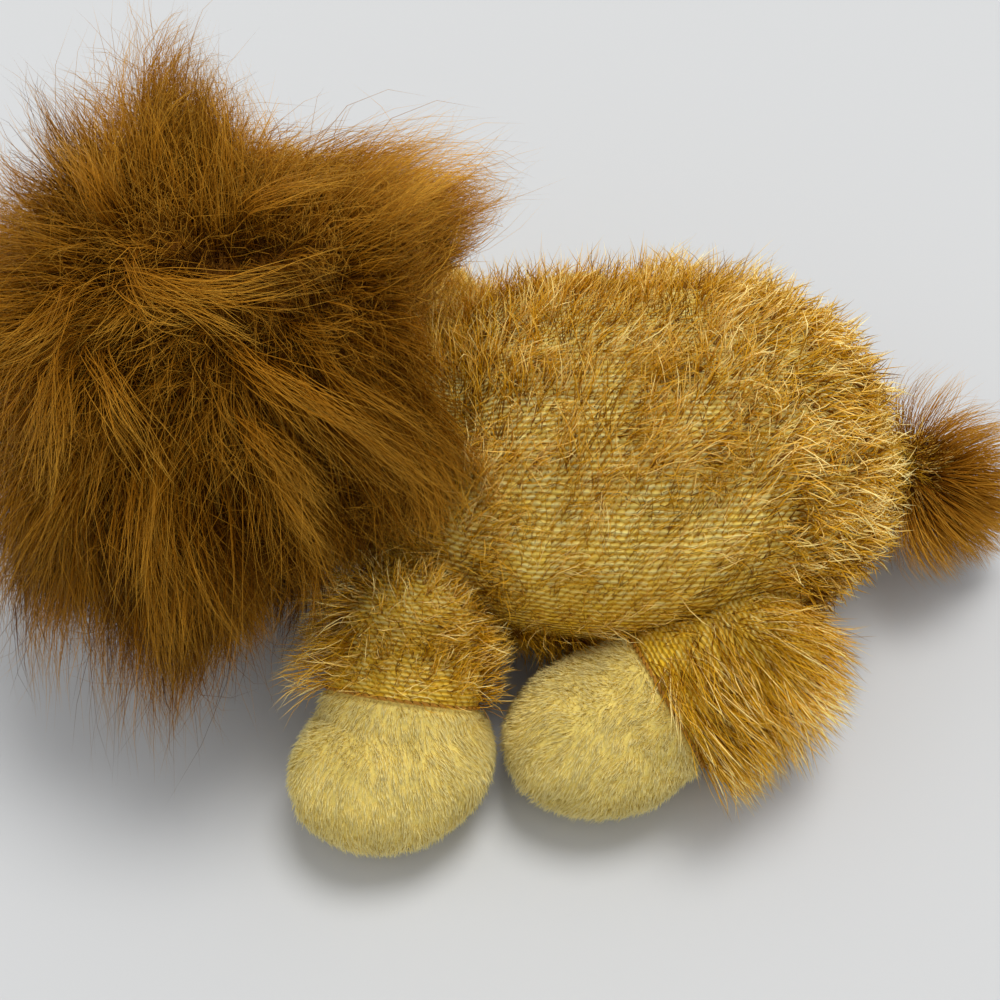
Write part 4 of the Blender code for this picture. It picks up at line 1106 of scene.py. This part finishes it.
class LION_OT_mane_fur(bpy.types.Operator):
    """Grows the long pile of the mane"""

    bl_idname = "lion.mane_fur"
    bl_label = "Mane pile"

    def execute(self, context):
        s = sizes()
        rng = np.random.default_rng(11)
        hood = piece("mane_hood")
        centre, crown, look = np.array(HEAD_CENTRE), np.array(CROWN), np.array(LOOK)
        neck = np.array(-NECK_OUT)

        def keep(points, normals):
            way = unit(points - centre)
            outside = distances(points, centre) > HOOD_RADIUS - ROOT_DEPTH
            rim = way @ look > cos(FACE_HALF_ANGLE + 0.05)
            return (outside | rim) * (way @ neck < 0.86)

        roots, _ = skin_points(hood, s.mane_count, rng, keep)
        way = unit(roots - centre)
        swirl = smooth_vectors(roots, rng, 0.022)
        tufts = smooth_vectors(roots, rng, 0.009)
        loose = rng.normal(size=roots.shape)
        length = s.mane_length * (0.70 + 0.40 * rng.random(len(roots)))
        length *= 1 + 0.15 * smooth_noise(roots, rng, 0.012)
        parting = self.parting(crown)

        def flow(points):
            out = unit(points - centre)
            weights = np.exp((out @ parting.T - 1) / 0.05) + 1e-6
            line = unit(weights @ parting)
            from_crown = -unit(along_skin(line, out))
            from_face = -unit(look - (out @ look)[:, None] * out)
            near_face = 1 - step_between(np.arccos(np.clip(out @ look, -1, 1)), radians(58), radians(100))
            comb = from_crown * (1 - near_face)[:, None] + from_face * near_face[:, None]
            return out, comb

        out, comb = flow(roots)
        near_crown = step_between((out @ parting.T).max(axis=1), 0.90, 1.0)[:, None]
        start = out * (0.85 + 0.5 * near_crown) + comb * (0.80 - 0.3 * near_crown)
        start = start + swirl * 0.60 + tufts * 0.45 + loose * 0.16
        kind = rng.random(len(roots))
        astray = kind < ASTRAY_SHARE
        fuzz = kind > 1 - FUZZ_SHARE
        start = np.where(fuzz[:, None], out * 0.55 + comb * 0.45 + loose * 0.75, start)
        curl = rng.normal(size=roots.shape) * np.where(astray, 0.26, np.where(fuzz, 0.42, 0.10))[:, None]
        length *= np.where(astray, 1.15, np.where(fuzz, 0.60, 1.0))

        def bend(points, share):
            out, comb = flow(points)
            low = step_between(-out[:, 2], -0.1, 0.9)[:, None]
            hug = 0.26 - 0.10 * share
            return comb * hug + DOWN * (0.05 + 0.16 * low) - out * (0.10 * share) + curl

        path = grow(roots, start, bend, length, 4)
        free = path.copy()
        path = self.drawn_to_tufts(path, way, centre, crown, rng)
        path = np.where(astray[:, None, None], 0.55 * free + 0.45 * path, path)
        path = np.where(fuzz[:, None, None], 0.80 * free + 0.20 * path, path)
        together = path
        path, home = gather(path, 190, 0.50, 1.4, rng)
        path, small_home = gather(path, 2000, 0.58, 1.6, rng)
        path = np.where((astray | fuzz)[:, None, None], together, path)
        path = self.brought_to_outline(path, centre, astray, fuzz, rng.random(len(path))[home], rng)
        lock_shade = rng.random(len(path))
        shade = shades(roots, rng, 0.48, 0.26, 0.016, 0.30) + 0.34 * (lock_shade[small_home] - 0.5)
        # Painted light and shade: the mane is lighter on its far upper side and towards the back, and darker on its
        # near lower side.
        shade += 0.24 * out[:, 1] + 0.34 * step_between(out[:, 0] + out[:, 1], 0.2, 1.1)
        radius = s.mane_radius * (0.75 + 0.5 * rng.random(len(path))) * np.where(astray, 0.75, 1.0)
        looks = (mane_material(), "head", "mane_brown")
        long = ~fuzz
        fur_piece("mane_pile", path[long], radius[long], shade[long], *looks, (1.0, 0.95, 0.8, 0.5), 4)
        fur_piece("mane_fuzz", path[fuzz][:, ::2], radius[fuzz], shade[fuzz], *looks, (1.0, 0.75), 2)
        self.laid_strands(centre, rng, looks)
        return {"FINISHED"}

    def parting(self, crown):
        """Points along the parting, from the crown towards the neck's upper side."""
        end = unit(VIEW_RIGHT * 0.63 + VIEW_UP * 0.34 + VIEW_NEAR * 0.70)
        shares = np.linspace(0, 1, 8)[:, None]
        return unit(crown * (1 - shares) + end * shares)

    def laid_strands(self, centre, rng, looks):
        """Long locks that lie over the mane, each fanned out a little towards its end."""
        paths = []
        for start, end in MANE_STRANDS:
            count = sizes().strand_count
            first, run = np.array(start), np.array(end) - np.array(start)
            sideways = np.array((run[1], -run[0])) / np.linalg.norm(run)
            narrow, wide = rng.normal(size=count) * 1.1, rng.normal(size=count) * 2.6
            bow, begin = 2.2 * rng.normal(), 0.30 * rng.random(count)
            wave, phase = 0.5 + 0.5 * rng.random(count), 2 * pi * rng.random(count)
            reach = 0.55 + 0.50 * rng.random(count)
            rise = 0.95 + 0.06 * rng.random(count)
            points = []
            for step in np.linspace(0, 1, 8):
                t = begin + (reach - begin) * step
                aside = narrow + (wide - narrow) * t + bow * np.sin(pi * t) + wave * np.sin(9 * t + phase)
                flat = first + run * t[:, None] + sideways * aside[:, None]
                near = np.full(count, 30.0)
                lift = rise * (0.80 + 0.20 * step_between(np.full(count, step), 0, 0.3))
                for _ in range(4):
                    spot = flat[:, :1] * VIEW_RIGHT + flat[:, 1:] * VIEW_UP + near[:, None] * VIEW_NEAR
                    goal = mane_reach(unit(spot)) * 1000 * lift
                    near = np.sqrt(np.maximum(goal**2 - (flat**2).sum(1), 4.0))
                points.append(centre + spot * 0.001)
            paths.append(np.stack(points, axis=1))
        path = np.concatenate(paths)
        shade = 0.60 + 0.36 * (rng.random(len(path)) - 0.5)
        radius = sizes().mane_radius * (0.8 + 0.4 * rng.random(len(path)))
        fur_piece("mane_strands", path, radius, shade, *looks, (1.0, 1.0, 0.95, 0.9, 0.8, 0.65, 0.45))

    def brought_to_outline(self, path, centre, astray, fuzz, lock, rng):
        """Draws each fibre out or in, so that the mane's tips stand where the photograph has them."""
        tip = path[:, -1] - centre
        distance = np.linalg.norm(tip, axis=1)
        way = tip / distance[:, None]
        layer = 1.07 - 0.36 * rng.random(len(path)) + 0.07 * smooth_noise(path[:, -1], rng, 0.010)
        layer += 0.14 * (lock - 0.5)
        layer = np.where(astray, 0.90 + 0.32 * rng.random(len(path)) ** 1.8, layer)
        layer = np.where(fuzz, 0.82 + 0.18 * rng.random(len(path)), layer)
        goal = np.maximum(mane_reach(way) * layer, 0.0292 + 0.003 * rng.random(len(path)))
        growth = np.linspace(0, 1, path.shape[1])[None, :, None] ** 1.15
        return centre + (path - centre) * (1 + (goal / distance - 1)[:, None, None] * growth)

    def drawn_to_tufts(self, path, way, centre, crown, rng):
        """Sweeps the fibres near each tuft's root along one curve to its tip."""
        places, spreads, strengths = (np.array(part) for part in zip(*TUFTS))
        tips = places * 0.001 @ (VIEW_RIGHT, VIEW_UP, VIEW_NEAR)
        roots = unit(unit(tips) * 0.62 + crown * 0.38)
        weights = np.exp((way @ roots.T - 1) / spreads)
        best = weights.argmax(axis=1)
        share = weights[np.arange(len(best)), best] * strengths[best]
        first = path[:, 0]
        middle = centre + (first - centre) * 0.75 + roots[best] * 0.0125 + tips[best] * 0.30
        last = centre + tips[best]
        reach = 0.62 + 0.42 * rng.random(len(best))
        moved = path.copy()
        for step in range(path.shape[1]):
            along = step / (path.shape[1] - 1)
            t = (along * reach)[:, None]
            curve = (1 - t) ** 2 * first + 2 * t * (1 - t) * middle + t * t * last
            moved[:, step] += (share * along**0.7)[:, None] * (curve - path[:, step])
        return moved


class LION_OT_body_fur(bpy.types.Operator):
    """Grows the shaggy gold fibres of the body and the legs"""

    bl_idname = "lion.body_fur"
    bl_label = "Body pile"

    def execute(self, context):
        for name, share, seed in (("torso_left", 0.42, 21), ("torso_right", 0.42, 22), ("belly", 0.10, 23)):
            rng = np.random.default_rng(seed)
            roots, normals = skin_points(piece(name + "_skin"), int(sizes().body_count * share), rng, self.keep)
            self.grow_body(name, roots, normals, rng)
        self.legs()
        return {"FINISHED"}

    def keep(self, points, normals):
        """How densely the body's skin carries fibres: fewer on the flanks and along the back seam."""
        x, y, z = points.T
        middle = points * np.array((0.0, 1.0, 1.0)) - np.array((0, 0, BODY_MIDDLE_Z))
        shown = (unit(middle) * normals).sum(1) > 0.05
        shown |= (x > 0.036) | ((x < -0.0385) & (z > 0.016))
        shown &= (z > 0.0015) & (distances(points, HEAD_CENTRE) > 0.0300)
        for leg in LEGS:
            shown &= distances(points, leg.hip) > LEG_ROOT_RADIUS + 0.0008
        parting = (abs(y) < 0.0012) & (z > 0.03) & (x > -0.022)
        return shown * (1 - 0.35 * self.flank(points)) * np.where(parting, 0.2, 1.0)

    def flank(self, points):
        """1 on the flat of the flanks, where the knit shows, and 0 elsewhere."""
        along = band(points[:, 0], -0.034, -0.020, 0.010, 0.026)
        high = step_between(points[:, 2], 0.014, 0.024) * (1 - 0.75 * step_between(points[:, 2], 0.045, 0.056))
        return along * high

    def crease(self, points):
        """1 in the folds between the body and the legs, where the fibres get painted shade, and 0 away from them."""
        depth = np.zeros(len(points))
        for leg in LEGS:
            away = distances(points, leg.hip) - LEG_ROOT_RADIUS
            depth = np.maximum(depth, 1 - step_between(away, 0.001, 0.009))
        return depth * (1 - step_between(points[:, 2], 0.028, 0.040))

    def grow_body(self, name, roots, normals, rng):
        s = sizes()
        count = len(roots)
        x, z = roots[:, 0], roots[:, 2]
        flank = self.flank(roots)
        rear = step_between(x, 0.0, 0.045)
        top = step_between(z, 0.045, 0.060)
        upper = step_between(z, 0.012, 0.030)[:, None]
        back = np.array((0.35, 0.0, 0.85)) * upper + np.array((0.65, 0.0, -0.45)) * (1 - upper)
        back = back * (1 - rear)[:, None] + np.array((0.75, 0.0, -0.10)) * rear[:, None]
        shoulder = (1 - step_between(x, -0.041, -0.030)) * step_between(z, 0.028, 0.040)
        back = back * (1 - shoulder)[:, None] + np.array((-0.80, -0.15, 0.55)) * shoulder[:, None]
        comb = along_skin(back + smooth_vectors(roots, rng, 0.013) * 0.50, normals)
        loose = rng.normal(size=roots.shape) * (0.32 + 0.16 * rear + 0.08 * top)[:, None]
        start = normals * (0.55 + 0.35 * top - 0.22 * flank)[:, None] + comb * 0.85 + loose
        strands = rng.random(count)
        length = s.body_length * (0.62 + 0.55 * rng.random(count)) * (1 - 0.26 * flank - 0.15 * rear + 0.10 * top)
        length *= np.where(flank * strands > 0.75, 1.45, 1.0)
        fringe = band(x, -0.022, -0.012, 0.024, 0.036) * band(z, 0.004, 0.008, 0.016, 0.024)
        low = 1 - step_between(z, 0.004, 0.016)
        under = 1 - step_between(z, 0.020, 0.036)
        length *= (1 + 0.75 * fringe) * (1 - 0.35 * low) * (1 + 0.25 * shoulder) * (1 - 0.35 * rear * under)
        start = start + (normals * 0.25 + DOWN * 0.30) * fringe[:, None]
        curl = rng.normal(size=roots.shape) * (0.30 + 0.16 * rear + 0.15 * fringe)[:, None]

        hang = DOWN * (0.06 * (1 - top))[:, None]
        path = grow(roots, start, lambda points, share: curl + comb * 0.06 + hang, length, 3)
        path, _ = gather(path, max(20, count // 9), 0.42, 1.0, rng)
        shade = shades(roots, rng, 0.46, 0.20, 0.016, 0.75 + 0.40 * rear) + 0.16 * rear + 0.06 * top
        shade = np.where(flank * strands > 0.88, 0.95, shade)
        # Painted shade: fibres in the folds between the body and the legs are darkened.
        shade -= 0.75 * self.crease(roots)
        radius = s.body_radius * (0.7 + 0.6 * rng.random(count)) * (1 - 0.30 * flank + 0.40 * rear + 0.15 * top)
        fur_piece(name + "_pile", path, radius, shade, gold_material(), "torso", "shaggy_gold", GOLD_TAPER)

    def legs(self):
        s = sizes()
        whole = body_form("body_probe", 0.0005)
        probe = BVHTree.FromObject(whole, bpy.context.evaluated_depsgraph_get())

        def gap_to_body(point):
            place, normal, _, distance = probe.find_nearest(Vector(point))
            return distance if (Vector(point) - place).dot(normal) > 0 else -1.0

        for number, leg in enumerate(LEGS):
            rng = np.random.default_rng(31 + number)
            along = np.array(leg.along)

            def keep(points, normals):
                before = leg.ankle_out - (points - np.array(leg.hip)) @ along
                near_ankle = 1 - step_between(before, 0.0008, 0.004)
                return (before > 0.0006) * (points[:, 2] > 0.002) * (1 - (0.6 if leg.front else 0.2) * near_ankle)

            skin = piece(leg.name + "_sleeve_skin")
            roots, normals = skin_points(skin, int(s.leg_count * 1.6), rng, keep)
            gap = np.array([gap_to_body(point) for point in roots])
            roots, normals, gap = (part[gap > 0][: s.leg_count] for part in (roots, normals, gap))
            count = len(roots)
            loose = rng.normal(size=roots.shape)
            comb = DOWN * 0.15 + smooth_vectors(roots, rng, 0.015) * 0.4
            ahead = step_between(-normals[:, 0], 0.25, 0.75)
            behind = step_between(normals[:, 0], 0.0, 0.9)
            strands = rng.random(count) < (0.22 + 0.5 * ahead if leg.front else 0.36)
            length = s.leg_length * (0.55 + 0.55 * rng.random(count))
            length *= 0.45 + 0.55 * step_between(gap, 0.001, 0.007)
            if leg.front:
                comb = comb + np.array((0.35, 0, 0.65)) * (1 - ahead[:, None])
                comb = comb + np.array((-0.50, -0.10, -0.35)) * ahead[:, None]
                start = normals * (0.40 + 0.5 * ahead)[:, None] + comb * 0.9 + loose * 0.30
                length *= 0.62 + 0.60 * ahead + 0.25 * behind
            else:
                comb = comb + np.array((0.60, 0.55 * np.sign(leg.hip.y), -0.20))
                start = normals * 0.50 + comb * 0.95 + loose * 0.22
                length *= 1.45 - 0.45 * behind
            curl = rng.normal(size=roots.shape) * (0.28 if leg.front else 0.16)
            hang = DOWN * (0.05 if leg.front else 0.08)
            path = grow(roots, start, lambda points, share: curl + comb * 0.12 + hang, length, 3)
            path, _ = gather(path, max(20, count // 7), 0.30, 1.2, rng)
            shade = shades(roots, rng, 0.42, 0.20, 0.02, 0.65) + 0.42 * strands
            radius = s.body_radius * (0.65 + 0.55 * rng.random(count))
            fur_piece(leg.name + "_pile", path, radius, shade, gold_material(), leg.body, "shaggy_gold", GOLD_TAPER)
        removed(whole)


class LION_OT_paw_pile(bpy.types.Operator):
    """Grows the short pile of the paws"""

    bl_idname = "lion.paw_pile"
    bl_label = "Paw pile"

    def execute(self, context):
        s = sizes()
        tones = [colour("paw_" + part) for part in ("root", "middle", "tip")]
        material = fibre_material("pale yellow pile", *tones, 0.35, 0.2)
        for number, leg in enumerate(LEGS):
            rng = np.random.default_rng(51 + number)
            along = np.array(leg.along)
            ankle = np.array(leg.hip) + along * leg.ankle_out

            def keep(points, normals):
                z = points[:, 2]
                outward = ((points - np.array(leg.paw)) * normals).sum(1) > 0.006
                return outward * ((points - ankle) @ along > 0.0006) * (abs(z - SOLE_SEAM_Z) > 0.0004) * (z > 0.0008)

            for part, share in (("_paw", 0.8), ("_sole", 0.2)):
                roots, normals = skin_points(piece(leg.name + part + "_skin"), int(s.paw_count * share), rng, keep)
                comb = along * 0.70 + np.array((0.20, 0.0, -0.50)) + smooth_vectors(roots, rng, 0.010) * 0.35
                comb = along_skin(comb, normals)
                start = normals * 0.50 + comb * 0.95 + rng.normal(size=roots.shape) * 0.20
                length = s.paw_length * (0.8 + 0.4 * rng.random(len(roots)))
                bend = rng.normal(size=roots.shape) * 0.14 + comb * 0.35
                fibres = (leg.name + part + "_pile", roots, start, lambda points, share: bend, length, rng)
                looks = (material, leg.body, "paw_yellow")
                short_pile(*fibres, (20, 14, 0.24), (0.22, 0.009, 0.25), s.paw_radius, *looks)
        return {"FINISHED"}


class LION_OT_face_pile(bpy.types.Operator):
    """Grows the short pile of the face, the ears, the muzzle and the chin"""

    bl_idname = "lion.face_pile"
    bl_label = "Face pile"

    def execute(self, context):
        s = sizes()
        tones = [colour(name) for name in ("body_root", "face_middle", "body_tip")]
        gold = fibre_material("gold face pile", *tones, 0.4, 0.25)
        pale = fibre_material("cream pile", colour("paw_middle"), colour("cream"), (0.95, 0.90, 0.76), 0.3, 0.2)
        nose = np.array(HEAD_CENTRE + LOOK * 0.0375 - HEAD_TOP * 0.003)
        eye_boxes = [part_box(name) for name in ("eye_left", "eye_right")]
        eyes = [(Vector(low) + Vector(high)) / 2 for low, high in eye_boxes]

        def keep(points, normals):
            offset = points - np.array(HEAD_CENTRE)
            shown = (distances(points, HEAD_CENTRE) > FACE_RADIUS - 0.0002) & (distances(points, nose) > 0.0052)
            for eye in eyes:
                shown &= distances(points, eye) > 0.0042
            return shown * ((unit(offset) * normals).sum(1) > -0.35)

        for name, share, length_share, material, slot in (
            ("face", 0.42, 1.0, gold, "short_gold"),
            ("ear_left", 0.15, 1.1, gold, "short_gold"),
            ("ear_right", 0.15, 1.1, gold, "short_gold"),
            ("ear_lining_left", 0.10, 0.7, pale, "cream"),
            ("ear_lining_right", 0.10, 0.7, pale, "cream"),
            ("muzzle", 0.22, 0.75, pale, "cream"),
            ("chin", 0.08, 0.7, pale, "cream"),
        ):
            rng = np.random.default_rng(71 + len(name))
            roots, normals = skin_points(piece(name + "_skin"), int(s.face_count * share), rng, keep)
            comb = along_skin(unit(roots - nose), normals)
            start = normals * 0.9 + comb * 0.8 + rng.normal(size=roots.shape) * 0.16
            length = s.face_length * length_share * (0.7 + 0.5 * rng.random(len(roots)))
            bend = comb * 0.35 + DOWN * 0.06
            fibres = (name + "_pile", roots, start, lambda points, share: bend, length, rng)
            short_pile(*fibres, (12, 9, 0.35), (0.3, 0.008, 0.4), FACE_FIBRE_RADIUS, material, "head", slot)
        return {"FINISHED"}


class LION_OT_tail_fur(bpy.types.Operator):
    """Grows the brush on the tail and the gold fibres of its sleeve"""

    bl_idname = "lion.tail_fur"
    bl_label = "Tail pile"

    def execute(self, context):
        s = sizes()
        rng = np.random.default_rng(91)
        along, hinge = np.array(TAIL_ALONG), np.array(TAIL_HINGE)
        core, sleeve = piece("tail_tuft_core"), piece("tail_sleeve_skin")
        roots, normals = skin_points(core, s.tuft_count, rng, lambda points, normals: 1.0)
        count = len(roots)
        reach = np.clip(((roots - hinge) @ along - 0.006) / 0.020, 0, 1)
        comb = along[None] + smooth_vectors(roots, rng, 0.012) * 0.18
        start = normals * (1.0 - 0.5 * reach)[:, None] + comb * (0.22 + 0.60 * reach)[:, None]
        start = start + rng.normal(size=roots.shape) * 0.18
        length = s.tuft_length * (0.62 + 0.55 * rng.random(count)) * (1 - 0.40 * reach)
        curl = rng.normal(size=roots.shape) * 0.05

        path = grow(roots, start, lambda points, share: comb * 0.24 + curl + DOWN * 0.01, length, 4)
        path, _ = gather(path, 40, 0.40, 1.3, rng)
        path, _ = gather(path, 260, 0.60, 1.5, rng)
        shade = shades(roots, rng, 0.52, 0.25, 0.01, 0.55)
        radius = s.mane_radius * (0.75 + 0.5 * rng.random(count))
        fur_piece("tail_pile", path, radius, shade, mane_material(), "tail", "mane_brown", (1.0, 1.0, 0.85, 0.5))

        def clear_of_rump(points, normals):
            return (points - hinge) @ along > 0.004

        roots, normals = skin_points(sleeve, TAIL_SLEEVE_COUNT, rng, clear_of_rump)
        start = normals + along * 0.6 + rng.normal(size=roots.shape) * 0.3
        length = TAIL_SLEEVE_LENGTH * (0.7 + 0.6 * rng.random(len(roots)))
        curl = rng.normal(size=roots.shape) * 0.25
        path = grow(roots, start, lambda points, share: curl + DOWN * 0.05, length, 3)
        shade = rng.random(len(roots))
        radius = np.full(len(roots), s.body_radius)
        fur_piece("tail_sleeve_pile", path, radius, shade, gold_material(), "tail", "shaggy_gold", GOLD_TAPER)
        return {"FINISHED"}


class LION_OT_stage(bpy.types.Operator):
    """Sets the floor, the light and the camera"""

    bl_idname = "lion.stage"
    bl_label = "Stage"

    def execute(self, context):
        scene = context.scene
        deselect_all()
        bpy.ops.mesh.primitive_plane_add(size=6, location=(0, 0, -0.0001))
        floor = named("floor")
        bpy.ops.object.transform_apply(location=True, rotation=True, scale=True)
        floor.data.materials.append(fresh_material("pale floor", lambda tree: {"Base Color": FLOOR_COLOUR}, 0.9, 0.1))

        world = bpy.data.worlds.new("soft room")
        world.use_nodes = True
        room = world.node_tree.nodes["Background"].inputs
        room["Color"].default_value = (0.98, 0.99, 1.0, 1)
        room["Strength"].default_value = 0.66
        scene.world = world
        self.sun("window light", (radians(-14), radians(10), 0), 1.7, radians(26))
        scene.view_settings.view_transform = "Standard"

        camera = bpy.data.cameras.new("photo camera")
        camera.sensor_width = 36
        camera.lens = camera.sensor_width / 2 / tan(HALF_VIEW)
        camera.clip_start = 0.01
        place = bpy.data.objects.new("photo camera", camera)
        scene.collection.objects.link(place)
        place.location = CAMERA_PLACE
        place.rotation_euler = (CAMERA_AIM - place.location).to_track_quat("-Z", "Y").to_euler()
        scene.camera = place
        return {"FINISHED"}

    def sun(self, name, turn, strength, angle):
        light = bpy.data.lights.new(name, "SUN")
        light.energy = strength
        light.angle = angle
        light.color = (1.0, 0.985, 0.96)
        item = bpy.data.objects.new(name, light)
        bpy.context.scene.collection.objects.link(item)
        item.rotation_euler = turn


STEPS = (
    LION_OT_stage,
    LION_OT_torso,
    LION_OT_legs,
    LION_OT_head,
    LION_OT_tail,
    LION_OT_trim,
    LION_OT_mane_fur,
    LION_OT_body_fur,
    LION_OT_paw_pile,
    LION_OT_face_pile,
    LION_OT_tail_fur,
)


class LION_PT_panel(bpy.types.Panel):
    """Lists the steps of the lion in the sidebar"""

    bl_label = "Plush lion"
    bl_idname = "LION_PT_panel"
    bl_space_type = "VIEW_3D"
    bl_region_type = "UI"
    bl_category = "Lion"

    def draw(self, context):
        for step in STEPS:
            self.layout.operator(step.bl_idname)
        for group in (context.scene.lion_sizes, context.scene.lion_colours):
            for name in group.bl_rna.properties.keys():
                if name not in ("name", "rna_type"):
                    self.layout.prop(group, name)


CLASSES = (LionSizes, LionColours, *STEPS, LION_PT_panel)


def register():
    for item in CLASSES:
        bpy.utils.register_class(item)
    bpy.types.Scene.lion_sizes = PointerProperty(type=LionSizes)
    bpy.types.Scene.lion_colours = PointerProperty(type=LionColours)


def unregister():
    del bpy.types.Scene.lion_colours
    del bpy.types.Scene.lion_sizes
    for item in reversed(CLASSES):
        bpy.utils.unregister_class(item)


def main():
    register()
    deselect_all()
    for step in STEPS:
        group, name = step.bl_idname.split(".")
        getattr(getattr(bpy.ops, group), name)()


if __name__ == "__main__":
    main()
